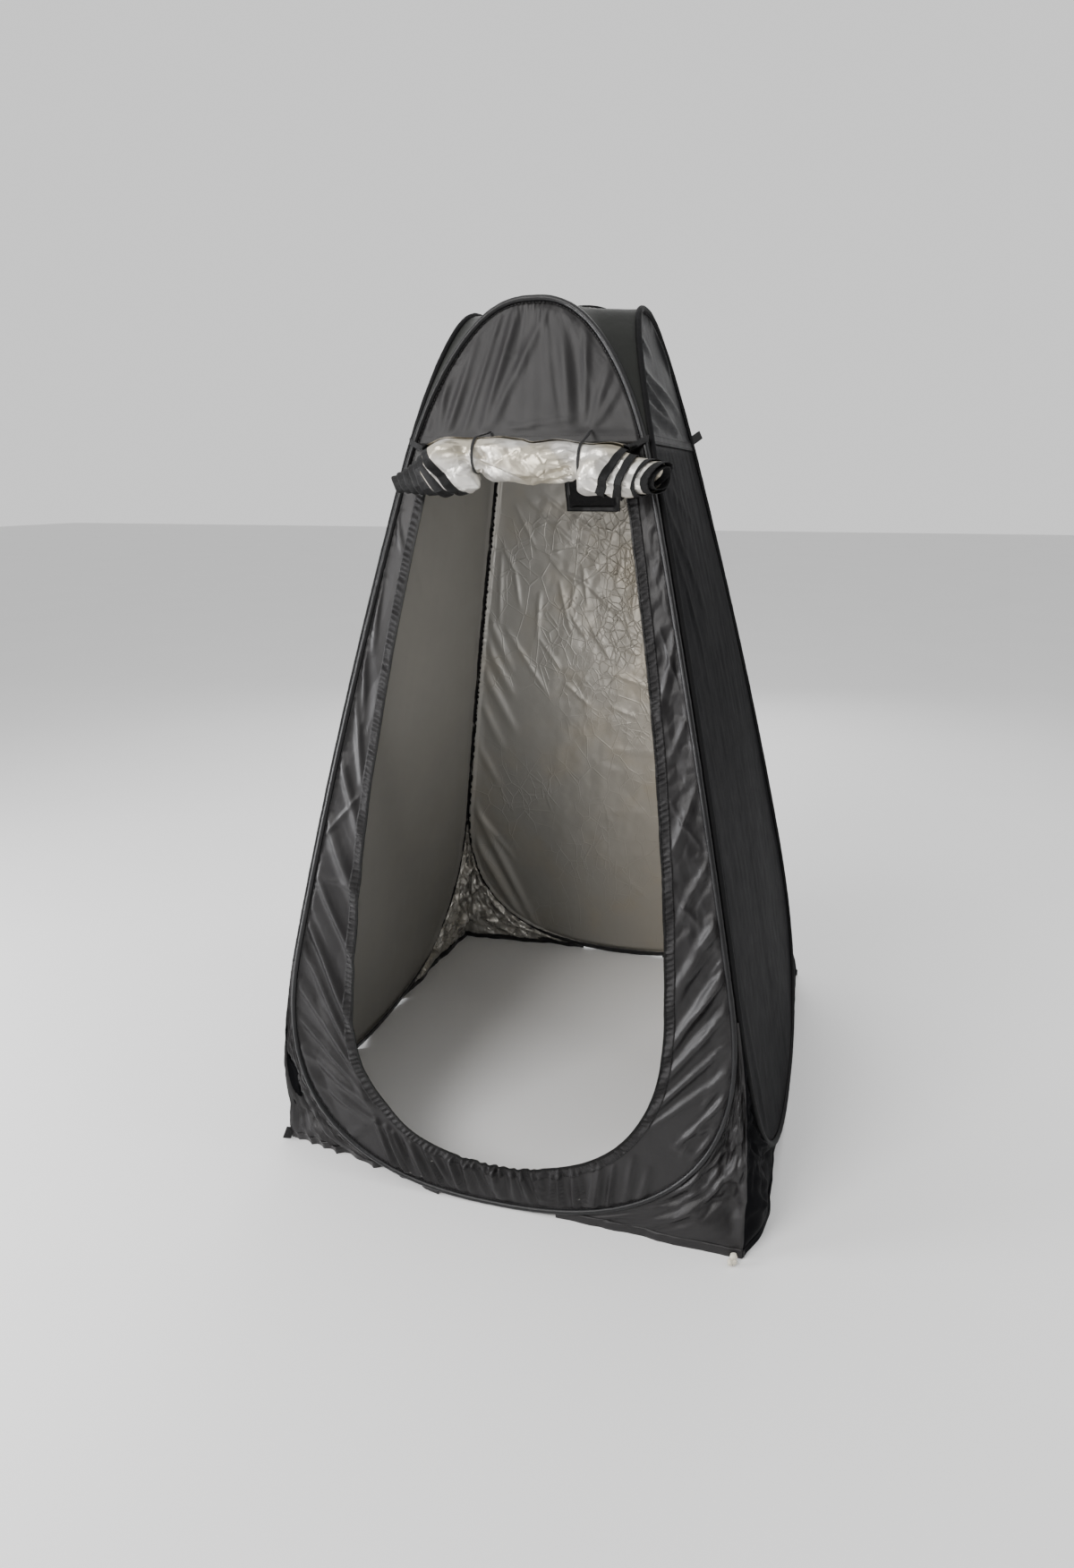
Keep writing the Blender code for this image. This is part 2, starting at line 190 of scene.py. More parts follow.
UPPER_CREASES = (
    ((-0.065, 1.648), (0.11, 1.667), 0.0035, 0.0022),
    ((-0.075, 1.636), (0.015, 1.652), 0.0035, 0.002),
    ((-0.185, 1.768), (-0.15, 1.77), 0.003, 0.0015),
    ((-0.06, 1.787), (-0.02, 1.79), 0.003, 0.0015),
    ((0.155, 1.776), (0.175, 1.779), 0.003, 0.0015),
)
FRONT_FOLDS = (
    ((-0.295, 1.52), (-0.262, 1.40), 0.0072, 0.0037),
    ((-0.305, 1.43), (-0.325, 1.20), 0.0087, 0.0046),
    ((-0.345, 1.24), (-0.345, 1.05), 0.0079, 0.0046),
    ((-0.365, 1.12), (-0.345, 0.92), 0.0095, 0.0055),
    ((-0.40, 0.98), (-0.345, 0.80), 0.0111, 0.0065),
    ((-0.43, 0.84), (-0.345, 0.63), 0.0158, 0.0093),
    ((-0.455, 0.72), (-0.352, 0.50), 0.0103, 0.0093),
    ((-0.475, 0.60), (-0.36, 0.37), 0.0111, 0.0111),
    ((-0.49, 0.54), (-0.35, 0.30), 0.0079, 0.0084),
    ((-0.505, 0.46), (-0.345, 0.27), 0.0111, 0.0101),
    ((-0.51, 0.38), (-0.33, 0.22), 0.0072, 0.0065),
    ((-0.495, 0.30), (-0.31, 0.19), 0.0127, 0.0084),
    ((-0.45, 0.22), (-0.315, 0.15), 0.0079, 0.0046),
    ((-0.39, 0.09), (-0.31, 0.14), 0.0111, 0.0046),
    ((0.33, 1.52), (0.285, 1.36), 0.0079, 0.0046),
    ((0.34, 1.28), (0.31, 1.10), 0.0087, 0.0055),
    ((0.38, 1.14), (0.335, 1.00), 0.0079, 0.0055),
    ((0.40, 0.97), (0.355, 0.83), 0.0095, 0.0065),
    ((0.435, 0.83), (0.365, 0.67), 0.0111, 0.0074),
    ((0.455, 0.70), (0.362, 0.50), 0.0143, 0.0120),
    ((0.49, 0.62), (0.362, 0.40), 0.0111, 0.0120),
    ((0.50, 0.54), (0.355, 0.34), 0.0103, 0.0093),
    ((0.51, 0.47), (0.335, 0.27), 0.0079, 0.0093),
    ((0.51, 0.40), (0.325, 0.23), 0.0064, 0.0065),
    ((0.505, 0.345), (0.40, 0.215), 0.0064, 0.0093),
    ((0.495, 0.28), (0.41, 0.24), 0.0072, 0.0055),
    ((0.31, 0.17), (0.295, 0.06), 0.0079, 0.0084),
    ((0.345, 0.15), (0.325, 0.06), 0.0095, 0.0084),
)
FRONT_CREASES = (
    ((-0.43, 0.70), (-0.345, 0.685), 0.004, 0.003),
    ((-0.43, 0.225), (-0.28, 0.14), 0.004, 0.004),
    ((-0.44, 0.79), (-0.35, 0.89), 0.004, 0.004),
    ((0.345, 0.93), (0.41, 0.85), 0.004, 0.005),
    ((0.37, 0.74), (0.42, 0.69), 0.005, 0.005),
    ((0.30, 1.27), (0.35, 1.15), 0.005, 0.004),
    ((0.39, 0.22), (0.44, 0.20), 0.004, 0.004),
    ((0.41, 0.19), (0.43, 0.235), 0.004, 0.004),
)
FAN_TOP = 2.02
CREASED_HEIGHTS = (0.86, 1.52)
COMB_FROM, COMB_TO, COMB_STEP = 0.27, 0.72, 0.019
PLEATS_FROM, PLEATS_TO, PLEAT_STEP = -0.29, 0.28, 0.0235
BACK_FOLDS = (
    ((0.36, 1.22), (0.298, 1.02), 0.014, 0.005),
    ((0.38, 1.13), (0.303, 0.94), 0.015, 0.006),
    ((0.40, 1.04), (0.311, 0.82), 0.016, 0.006),
    ((0.42, 0.93), (0.36, 0.76), 0.015, 0.005),
    ((0.45, 0.77), (0.39, 0.63), 0.014, 0.005),
    ((0.49, 0.55), (0.30, 0.04), 0.014, 0.010),
    ((0.51, 0.43), (0.34, 0.05), 0.016, 0.012),
    ((0.47, 0.50), (0.37, 0.35), 0.009, 0.005),
)
BACK_CREASES = (
    ((0.17, 1.53), (0.08, 1.465), 0.005, 0.0022),
    ((0.08, 1.465), (-0.03, 1.395), 0.005, 0.0025),
    ((0.195, 1.51), (0.07, 1.385), 0.005, 0.0026),
    ((0.225, 1.485), (0.18, 1.375), 0.005, 0.0022),
    ((0.18, 1.375), (0.11, 1.36), 0.005, 0.002),
    ((0.275, 1.38), (0.25, 1.31), 0.006, 0.0025),
    ((0.25, 1.31), (0.247, 1.21), 0.006, 0.003),
    ((0.285, 1.355), (0.317, 1.15), 0.006, 0.0026),
    ((0.15, 1.36), (0.11, 1.31), 0.006, 0.0026),
    ((0.11, 1.31), (0.045, 1.28), 0.005, 0.003),
    ((0.045, 1.28), (-0.07, 1.165), 0.005, 0.003),
    ((0.183, 1.25), (0.205, 1.12), 0.006, 0.003),
    ((0.122, 1.28), (0.10, 1.14), 0.006, 0.003),
    ((0.075, 1.27), (0.10, 1.20), 0.005, 0.0025),
    ((0.10, 1.20), (0.055, 1.12), 0.005, 0.0025),
    ((0.05, 1.32), (0.047, 1.22), 0.005, 0.0025),
    ((0.04, 1.155), (-0.008, 1.07), 0.006, 0.003),
    ((0.295, 1.14), (0.19, 0.945), 0.007, 0.003),
    ((0.197, 1.115), (0.144, 1.03), 0.005, 0.0025),
    ((0.13, 0.98), (0.06, 0.915), 0.005, 0.003),
    ((0.0, 0.915), (-0.08, 0.885), 0.005, 0.002),
    ((-0.106, 1.34), (-0.078, 1.18), 0.006, 0.003),
    ((-0.06, 1.345), (-0.04, 1.28), 0.005, 0.002),
    ((-0.07, 1.155), (-0.13, 1.12), 0.005, 0.002),
    ((-0.045, 1.105), (-0.105, 1.075), 0.005, 0.002),
    ((-0.015, 1.02), (-0.135, 0.98), 0.005, 0.002),
    ((0.008, 1.465), (-0.04, 1.40), 0.005, 0.002),
    ((0.07, 1.397), (0.005, 1.35), 0.005, 0.002),
    ((0.04, 0.552), (-0.10, 0.565), 0.005, 0.002),
    ((0.02, 0.772), (-0.15, 0.769), 0.005, 0.0018),
    ((-0.01, 0.456), (-0.146, 0.474), 0.005, 0.0018),
    ((0.0, 0.394), (-0.145, 0.405), 0.005, 0.0018),
    ((0.0, 0.327), (-0.087, 0.25), 0.005, 0.002),
    ((0.055, 0.726), (-0.03, 0.694), 0.005, 0.002),
)
SIDE_UPPER_FOLDS = (
    ((-0.20, 1.84), (-0.05, 1.80), 0.010, 0.006),
    ((-0.23, 1.765), (0.16, 1.697), 0.009, 0.008),
    ((-0.23, 1.745), (0.055, 1.656), 0.010, 0.008),
    ((-0.24, 1.70), (0.115, 1.641), 0.009, 0.008),
    ((-0.245, 1.664), (-0.076, 1.629), 0.008, 0.006),
    ((0.057, 1.855), (0.132, 1.779), 0.010, 0.006),
)
SIDE_FOLDS = (
    ((-0.24, 1.56), (0.044, 1.445), 0.010, 0.0025),
    ((-0.25, 1.50), (-0.05, 1.275), 0.012, 0.003),
    ((-0.26, 1.44), (-0.17, 1.20), 0.012, 0.003),
    ((-0.45, 0.55), (-0.38, 0.10), 0.014, 0.003),
)

# Stage, with the camera where the photo was taken from
BACKDROP = (-0.45, 0.89, 0.0)
ROOM_LIGHT = 0.22
BACKDROP_LIGHT = 1.0
LAMPS = (
    ("key", (-1.7, -3.7, 3.7), (0, 0, 0.9), 2.4, 190, (1.0, 0.985, 0.97)),
    ("side", (-3.8, -1.8, 1.3), (0, 0, 0.8), 1.4, 170, (0.98, 0.98, 1.0)),
    ("right_fill", (3.6, 0.4, 2.6), (0, 0, 0.9), 3.0, 60, (1, 1, 1)),
    ("back_fill", (-0.8, 3.8, 2.6), (0, 0, 0.9), 3.0, 60, (1, 1, 1)),
    ("doorway", (0.12, -0.32, 0.75), (0.42, 0.4, 1.12), 0.3, 3.2, (1.0, 0.97, 0.93)),
)
OVERHEAD_POWER = 1.3
OVERHEAD_ANGLE = math.radians(80)
PHOTO_SIZE = (1200, 1752)
FOCAL_PIXELS = 1020.0
PRINCIPAL_PIXEL = (681.99, 892.60)
CAMERA_SPOT = (0.658, -2.141, 1.544)
CAMERA_PITCH = math.radians(19.11)
CAMERA_YAW = math.radians(14.33)


def spread(z):
    """Distance from the tent's axis to a wall at a height."""
    return BASE_HALF - LEAN * z + BELLY * np.sin(np.pi * z / TOP)


def on_wall(face, s, z, out=0.0):
    """Points on a wall, s along it, z up it and out from it."""
    nx, ny = NORMALS[face]
    away = spread(z) + out
    return np.stack([nx * away - ny * s, ny * away + nx * s, z + 0 * s], axis=-1)


def arch_top(face):
    return BACK_TOP if face == "back" else TOP


def hoop_width(face, z):
    """Half width of a hoop at a height, to the middle of its sleeve."""
    up = np.clip((z - SHOULDER) / (arch_top(face) - SHOULDER), 0, 1)
    down = np.clip((KNEE - z) / (KNEE - SLEEVE), 0, 1)
    high = (1 - up**ARCH_POWER) ** (1 / ARCH_POWER)
    low = (1 - down**FOOT_POWER) ** (1 / FOOT_POWER)
    return (spread(z) - SEAM_INSET) * high * low


def evenly(line, spacing, closed=False):
    """The same line through points a spacing apart."""
    if closed:
        line = np.vstack([line, line[:1]])
    reach = np.r_[0, np.cumsum(np.linalg.norm(np.diff(line, axis=0), axis=1))]
    spots = np.linspace(0, reach[-1], int(round(reach[-1] / spacing)) + 1)
    made = np.stack([np.interp(spots, reach, column) for column in line.T], axis=1)
    return made[:-1] if closed else made


def hoop_line(face, spacing):
    """Closed line through the middle of a hoop's sleeve, as (s, z) points."""
    turn = np.linspace(0, np.pi / 2, 120)
    top = arch_top(face)
    high = SHOULDER + (top - SHOULDER) * np.cos(turn) ** (2 / ARCH_POWER)
    side = np.linspace(SHOULDER, KNEE, 60)[1:-1]
    low = KNEE - (KNEE - SLEEVE) * np.sin(turn) ** (2 / FOOT_POWER)
    z = np.concatenate([high, side, low])
    across = np.concatenate(
        [np.sin(turn) ** (2 / ARCH_POWER), np.ones(len(side)), np.cos(turn) ** (2 / FOOT_POWER)]
    )
    right = np.stack([(spread(z) - SEAM_INSET) * across, z], axis=1)
    left = right[-2:0:-1] * np.array([-1, 1])
    return evenly(np.vstack([right, left]), spacing, closed=True)


def closed_hoop(face):
    line = hoop_line(face, 0.008)
    return np.vstack([line, line[:1]])


def beside(points, line):
    """How far each point is from a line, and how far along the line it is nearest."""
    dense = evenly(line, 0.002)
    tree = kdtree.KDTree(len(dense))
    for i, spot in enumerate(dense):
        tree.insert((spot[0], spot[1], 0), i)
    tree.balance()
    found = [tree.find((p[0], p[1], 0)) for p in points]
    return np.array([hit[2] for hit in found]), np.array([hit[1] for hit in found]) * 0.002


def folded(points, folds, sharp=False):
    """Height of folds over flat points: ridges that fade at their ends."""
    total = np.zeros(len(points))
    for start, end, width, height in folds:
        first = np.array(start)
        along = np.array(end) - first
        share = np.clip((points - first) @ along / (along @ along), 0, 1)
        away = np.linalg.norm(points - first - share[:, None] * along, axis=1) / width
        fade = np.sin(np.pi * (0.06 + 0.88 * share)) ** 0.6
        if sharp:
            total += height * fade * np.exp(-(away**1.3))
        else:
            total += height * fade * (1.25 * np.exp(-(away**2)) - 0.25 * np.exp(-(away**2) / 6))
    return total


def turned(points, size, stretch, turn):
    """Flat points in a pattern's own turned and stretched units."""
    cos, sin = math.cos(turn), math.sin(turn)
    x, y = points.T
    return zip((x * cos + y * sin) * stretch[0] / size, (y * cos - x * sin) * stretch[1] / size)


def facets(points, cell, stretch=(1, 1), turn=0.0, seed=0):
    """Flat facets that meet in sharp creases, about -1 to 1."""
    heights = []
    for a, b in turned(points, cell, stretch, turn):
        near = noise.voronoi(Vector((a, b, seed)))[0][0]
        far = noise.voronoi(Vector((a + 31.7, b + 17.3, seed + 5.1)))[0][0]
        heights.append(near * near - far * far)
    return np.array(heights) * 2


def waves(points, size, stretch=(1, 1), turn=0.0, seed=0):
    """Soft rolling heights, about -1 to 1."""
    spots = turned(points, size, stretch, turn)
    return np.array([noise.noise(Vector((a, b, seed * 7.3))) for a, b in spots]) * 1.6


def wander(steps, row, layer=0):
    """A smooth random line, about -1 to 1."""
    return np.array([noise.noise(Vector((step, row, layer))) for step in steps])


def ease(x, low, high):
    """0 below low, 1 above high and smooth between."""
    t = np.clip((x - low) / (high - low), 0, 1)
    return t * t * (3 - 2 * t)


class Value:
    """A number that travels between shader nodes."""

    def __init__(self, finish, socket):
        self.finish = finish
        self.socket = socket

    def with_(self, operation, first, second=0.0):
        made = self.finish.node("ShaderNodeMath", {"operation": operation}, {0: first, 1: second})
        return Value(self.finish, made.outputs[0])

    def __add__(self, other):
        return self.with_("ADD", self, other)

    __radd__ = __add__

    def __mul__(self, other):
        return self.with_("MULTIPLY", self, other)

    __rmul__ = __mul__

    def __sub__(self, other):
        return self.with_("SUBTRACT", self, other)

    def __rsub__(self, other):
        return self.with_("SUBTRACT", other, self)

    def sine(self):
        return self.with_("SINE", self)


class Finish:
    """A procedural material being put together."""

    def __init__(self, **constants):
        self.material = bpy.data.materials.new("finish")
        self.material.use_nodes = True
        self.tree = self.material.node_tree
        self.shader = self.tree.nodes["Principled BSDF"]
        self.spots = self.node("ShaderNodeTexCoord")
        for name, value in constants.items():
            self.shader.inputs[name.replace("_", " ")].default_value = value

    def node(self, kind, settings=None, sockets=None):
        made = self.tree.nodes.new(kind)
        for key, value in (settings or {}).items():
            setattr(made, key, value)
        for key, value in (sockets or {}).items():
            self.feed(made.inputs[key], value)
        return made

    def feed(self, socket, value):
        if isinstance(value, Value):
            value = value.socket
        if isinstance(value, bpy.types.NodeSocket):
            self.tree.links.new(value, socket)
        else:
            socket.default_value = value

    def mapped(self, scale=(1, 1, 1), shift=(0, 0, 0), turn=(0, 0, 0)):
        sockets = {"Vector": self.spots.outputs["Object"], "Scale": scale}
        sockets.update({"Location": shift, "Rotation": turn})
        return self.node("ShaderNodeMapping", None, sockets).outputs[0]

    def clouds(self, scale, detail=2.0, spots=None):
        sockets = {"Vector": spots or self.mapped(), "Scale": scale, "Detail": detail}
        return Value(self, self.node("ShaderNodeTexNoise", None, sockets).outputs[0])

    def cells(self, scale, spots, feature="F1"):
        sockets = {"Vector": spots, "Scale": scale}
        made = self.node("ShaderNodeTexVoronoi", {"feature": feature}, sockets)
        return Value(self, made.outputs["Distance"])

    def crumples(self, scale, stretch=(1, 1, 1), turn=(0, 0, 0)):
        """Facets with sharp creases between them."""
        near = self.cells(scale, self.mapped(stretch, (0, 0, 0), turn))
        far = self.cells(scale, self.mapped(stretch, (3.1, 1.7, 2.3), turn))
        return near * near - far * far

    def lines(self, scale, width, stretch, turn):
        """Thin crease lines in a net, 1 on the line."""
        edge = self.cells(scale, self.mapped(stretch, turn=turn), "DISTANCE_TO_EDGE")
        return self.stepped(edge, 0.0, width, 1.0, 0.0)

    def weave(self, pitch):
        """Threads crossing over and under, on the piece's own pattern."""
        split = self.node("ShaderNodeSeparateXYZ", None, {0: self.spots.outputs["UV"]})
        across, along = (Value(self, split.outputs[k]) for k in (0, 1))
        return (across * (2 * math.pi / pitch)).sine() * (along * (2 * math.pi / pitch)).sine()

    def stepped(self, value, low, high, before=0.0, after=1.0):
        """The value eased from before, at low, to after, at high."""
        settings = {"interpolation_type": "SMOOTHSTEP"}
        sockets = {0: value, 1: low, 2: high, 3: before, 4: after}
        return Value(self, self.node("ShaderNodeMapRange", settings, sockets).outputs[0])

    def blend(self, share, first, second):
        """Blend of two colours, the first one plain or a link."""
        if not isinstance(first, bpy.types.NodeSocket):
            first = (*first, 1)
        made = self.node("ShaderNodeMix", {"data_type": "RGBA"}, {0: share, 6: first, 7: (*second, 1)})
        return made.outputs[2]

    def colour(self, value):
        self.feed(self.shader.inputs["Base Color"], value)

    def rough(self, value):
        self.feed(self.shader.inputs["Roughness"], value)

    def bump(self, *layers):
        """Surface relief from (height, depth in metres, strength) layers."""
        last = None
        for height, depth, strength in layers:
            sockets = {"Height": height, "Distance": depth, "Strength": strength}
            if last:
                sockets["Normal"] = last
            last = self.node("ShaderNodeBump", None, sockets).outputs[0]
        self.feed(self.shader.inputs["Normal"], last)
        return self.material


def scaled(colour, by):
    return tuple(channel * by for channel in colour)


def tones(colour, dark, light):
    return scaled(colour, dark), scaled(colour, light)


def charcoal(colour, rough, folds, gloss):
    """Polyester cloth with a soft sheen, fine creases and a plain weave."""
    made = Finish(Specular_IOR_Level=gloss)
    mottle = made.clouds(9.0, 4.0)
    grain = made.clouds(480.0, 2.0)
    lighter, darker = scaled(colour, 1.3), scaled(colour, 0.7)
    made.colour(made.blend(mottle * 0.5 + grain * 0.5, darker, lighter))
    crease = made.crumples(26.0, (1, 1, 0.7))
    fine = made.crumples(80.0)
    made.rough(rough + 0.14 * (made.clouds(18.0, 3.0) - 0.5))
    return made.bump(
        (made.weave(0.0013), 0.0001, 0.35),
        (crease, folds, 0.5),
        (fine, folds * 0.3, 0.4),
    )


def outer_cloth():
    return charcoal(colours().cloth, 0.41, 0.0009, 0.38)


def upper_cloth():
    return charcoal(scaled(colours().cloth, 0.95), 0.48, 0.0006, 0.36)


# Cloth of the shaded left, right and back walls: the same charcoal, darker in colour as painted shade.
def upper_side_painted_shade_cloth():
    return charcoal(scaled(colours().side, 0.6), 0.46, 0.001, 0.08)


def side_painted_shade_cloth():
    return charcoal(scaled(colours().side, 0.6), 0.62, 0.0009, 0.03)


def roof_cloth():
    return charcoal(colours().roof, 0.55, 0.0012, 0.2)


def lining(colour, rough, metal, depth, lines_depth, warm=0.5, creased=0.0):
    """Silver-coated inner face of the cloth, creased by folding, with warm stains and painted light that
    turns it tan to the right.
    """
    made = Finish(Metallic=metal)
    patches = made.clouds(3.2, 3.0)
    stain = made.stepped(made.clouds(7.0, 4.0), 0.45, 0.75)
    base = made.blend(patches, scaled(colour, 0.9), scaled(colour, 1.08))
    tan = (colour[0] * 1.14, colour[1] * 1.02, colour[2] * 0.84)
    split = made.node("ShaderNodeSeparateXYZ", None, {0: made.spots.outputs["Object"]})
    # Painted light: tan towards +X, where light through the doorway falls on the back wall; warm scales it
    # with the random stains.
    painted_light_to_right = made.stepped(split.outputs[0], -0.35, 0.35)
    made.colour(made.blend((stain * 0.4 + painted_light_to_right * 0.6) * warm, base, tan))
    net = made.lines(15.0, 0.03, (1, 1, 0.7), (0.3, 0.2, 0.4)) * 0.6
    net = net * made.stepped(made.clouds(4.0, 1.0), 0.42, 0.6)
    finer = made.lines(27.0, 0.05, (1, 1, 0.6), (0.9, 0.1, 0.2))
    finer = finer * made.stepped(made.clouds(6.0, 1.0), 0.5, 0.62)
    if creased:
        band = made.stepped(split.outputs[0], -0.12, 0.08) * made.stepped(split.outputs[2], 0.72, 0.95)
        band = band * made.stepped(made.clouds(5.0, 1.0), 0.34, 0.46)
        dense = made.lines(21.0, 0.04, (1, 1, 0.6), (0.2, 0.5, 0.1))
        dense = dense + made.lines(38.0, 0.06, (1, 1, 0.8), (0.7, 0.2, 0.9))
        net = net + dense * band * creased
    made.rough(rough + 0.12 * (made.clouds(14.0, 3.0) - 0.5))
    return made.bump(
        (made.weave(0.0013), 0.0001, 0.2),
        (net + finer * 0.6, lines_depth, 0.6),
        (made.crumples(34.0), depth, 0.5),
    )


def wall_lining():
    return lining(colours().lining, 0.4, 0.3, 0.0007, 0.0017, 1.0, 1.5)


def smooth_lining():
    return lining(scaled(colours().lining, 0.92), 0.5, 0.25, 0.0002, 0.0001, 0.0)


# The gussets' foil is the lining's colour lifted 1.7 times, a painted highlight for the glints of its
# crinkles.
def foil_lining():
    return lining(scaled(colours().lining, 1.7), 0.27, 0.7, 0.014, 0.004)


def door_lining():
    """Silver coating of the rolled door, in flat facets that catch the light."""
    made = Finish(Metallic=0.6)
    warmth = made.stepped(made.clouds(9.0, 2.0), 0.42, 0.62)
    pale, tan = colours().door, scaled(colours().door, 0.72)
    made.colour(made.blend(warmth, pale, (tan[0], tan[1] * 0.94, tan[2] * 0.8)))
    made.rough(0.36 + 0.12 * (made.clouds(14.0, 3.0) - 0.5))
    return made.bump(
        (made.crumples(16.0, (1, 1, 1.2), (0.4, 0.7, 0.2)), 0.012, 0.6),
        (made.crumples(40.0, (1, 1, 0.8), (0.9, 0.3, 0.5)), 0.003, 0.6),
    )


def trim(shades, mottle, rough, weave=None, crumples=None, grain=None, gloss=0.5):
    """Finish of a small part: mottled shades, a roughness, and relief with its depth and strength."""
    made = Finish(Specular_IOR_Level=gloss)
    made.colour(made.blend(made.clouds(*mottle), *shades))
    level, swing, *spots = rough
    made.rough(level + swing * made.clouds(*spots))
    layers = []
    if weave:
        layers.append((made.weave(weave[0]), *weave[1:]))
    if crumples:
        layers.append((made.crumples(crumples[0]), *crumples[1:]))
    if grain:
        layers.append((made.clouds(*grain[:2]), *grain[2:]))
    return made.bump(*layers)


def black_tape():
    """Matt black tape along the rolled door's edges."""
    shades = (0.003, 0.003, 0.0032), (0.009, 0.009, 0.0095)
    return trim(
        shades, (90.0, 2.0), (0.5, 0.15, 70.0, 2.0), (0.0018, 0.0002, 0.6), (110.0, 0.001, 0.5),
        gloss=0.25,
    )


def binding():
    """Black tape folded round the hoops and edges."""
    return trim(
        tones(colours().binding, 0.9, 2.2), (160.0, 2.0), (0.3, 0.12, 40.0, 2.0),
        (0.0016, 0.0001, 0.4), (120.0, 0.0005, 0.5), gloss=0.35,
    )


def side_painted_shade_binding():
    """Duller, darker copy of the hoops' tape for the shaded sides and corners; its darker colour is painted
    shade.
    """
    return trim(
        tones(colours().binding, 0.8, 1.5), (160.0, 2.0), (0.6, 0.1, 40.0, 2.0),
        (0.0016, 0.0001, 0.4), (120.0, 0.0005, 0.5), gloss=0.12,
    )


def zip_tape():
    """Puckered dark tape that carries the zip."""
    return trim(
        tones(colours().cloth, 0.6, 1.1), (60.0, 3.0), (0.42, 0.14, 50.0, 2.0),
        (0.0018, 0.0003, 0.6), (140.0, 0.0008, 0.5), gloss=0.35,
    )


def webbing():
    """Ribbed black webbing."""
    return trim(
        tones(colours().binding, 0.8, 2.0), (300.0, 2.0), (0.6, 0.15, 200.0, 1.0),
        (0.0024, 0.0005, 0.8),
    )


def coil():
    """Black nylon of the zip's coil."""
    shades = (0.002, 0.002, 0.002), (0.006, 0.006, 0.006)
    rough, grain = (0.4, 0.1, 90.0, 1.0), (900.0, 1.0, 0.0001, 0.3)
    return trim(shades, (500.0, 1.0), rough, grain=grain, gloss=0.3)


def thread():
    """Dark sewing thread."""
    shades = (0.014, 0.0135, 0.014), (0.034, 0.033, 0.034)
    return trim(shades, (400.0, 1.0), (0.55, 0.1, 300.0, 1.0), grain=(2500.0, 1.0, 0.0001, 0.5))


def window_net():
    """Fine black net, closed from behind by the flap."""
    shades = (0.004, 0.004, 0.005), (0.011, 0.011, 0.013)
    return trim(shades, (60.0, 2.0), (0.62, 0.1, 90.0, 1.0), (0.0015, 0.0004, 0.8))


def cream_cord():
    """Frayed cream cotton cord."""
    made = Finish(Sheen_Weight=0.3)
    strands = made.clouds(420.0, 3.0, made.mapped((1, 1, 0.3), turn=(0.5, 0.2, 0.4)))
    made.colour(made.blend(strands, scaled(colours().cord, 0.62), colours().cord))
    made.rough(0.8 + 0.1 * made.clouds(300.0, 1.0))
    return made.bump((strands, 0.0012, 0.8))


def floor_paint():
    shades = (0.86, 0.86, 0.86), (0.9, 0.9, 0.9)
    return trim(shades, (1.2, 3.0), (0.7, 0.1, 6.0, 2.0), grain=(400.0, 2.0, 0.0002, 0.2))


def finish(maker):
    """The material that a maker makes, made once."""
    name = f"tent_{maker.__name__}"
    made = bpy.data.materials.get(name)
    if made is None:
        made = maker()
        made.name = name
    return made


def sizes():
    return bpy.context.scene.tent_sizes


def colours():
    return bpy.context.scene.tent_colours


def grid(columns, rows, place):
    """Sheet of quads whose corners a function of (u, v), each 0 to 1, puts in place."""
    mesh = bmesh.new()
    bmesh.ops.create_grid(mesh, x_segments=columns, y_segments=rows, size=0.5)
    mesh.verts.index_update()
    flat = np.array([v.co[:2] for v in mesh.verts]) + 0.5
    spots, pattern = place(flat[:, 0], flat[:, 1])
    for vert, spot in zip(mesh.verts, spots):
        vert.co = spot
    layer = mesh.loops.layers.uv.new("UVMap")
    for face in mesh.faces:
        for loop in face.loops:
            loop[layer].uv = pattern[loop.vert.index]
    return mesh


def face_out(mesh, centre=(0, 0, 0.9)):
    """Turn an open sheet so that its faces point away from a centre."""
    mesh.normal_update()
    away = sum(f.normal.dot(f.calc_center_median() - Vector(centre)) * f.calc_area() for f in mesh.faces)
    if away < 0:
        bmesh.ops.reverse_faces(mesh, faces=mesh.faces)


def piece(name, mesh, makers, nodes=(), smooth=True):
    """Object from a mesh, riding on the frame in place of its nodes."""
    data = bpy.data.meshes.new(name)
    mesh.to_mesh(data)
    mesh.free()
    if smooth:
        data.shade_smooth()
    for maker in makers:
        data.materials.append(finish(maker))
    made = bpy.data.objects.new(name, data)
    bpy.context.scene.collection.objects.link(made)
    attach(made, "root")
    if nodes:
        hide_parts(*nodes)
    return made


def thicken(made, thickness, inner=1):
    """Give a sheet its thickness inwards, with the lining's material inside."""
    solid = made.modifiers.new("thickness", "SOLIDIFY")
    solid.thickness = thickness
    solid.offset = -1
    solid.material_offset = inner
    solid.use_rim = True


def tube(path, sideways, radius, sides):
    """Closed tube along a path. Radius is a function of how far along and round it is."""
    count = len(path)
    steps = np.roll(path, -1, axis=0) - np.roll(path, 1, axis=0)
    along = steps / np.linalg.norm(steps, axis=1)[:, None]
    first = sideways - along * (along @ sideways)[:, None]
    first /= np.linalg.norm(first, axis=1)[:, None]
    second = np.cross(along, first)
    spacing = np.linalg.norm(path[1] - path[0])

    def place(u, v):
        index = np.rint(u * count).astype(int)
        turn = 2 * np.pi * v
        here = index % count
        reach = radius(index * spacing, turn)[:, None]
        ring = first[here] * np.cos(turn)[:, None] + second[here] * np.sin(turn)[:, None]
        pattern = np.stack([index * spacing, turn * SLEEVE], axis=1)
        return path[here] + ring * reach, pattern

    mesh = grid(count, sides, place)
    bmesh.ops.remove_doubles(mesh, verts=mesh.verts, dist=1e-6)
    bmesh.ops.recalc_face_normals(mesh, faces=mesh.faces)
    return mesh


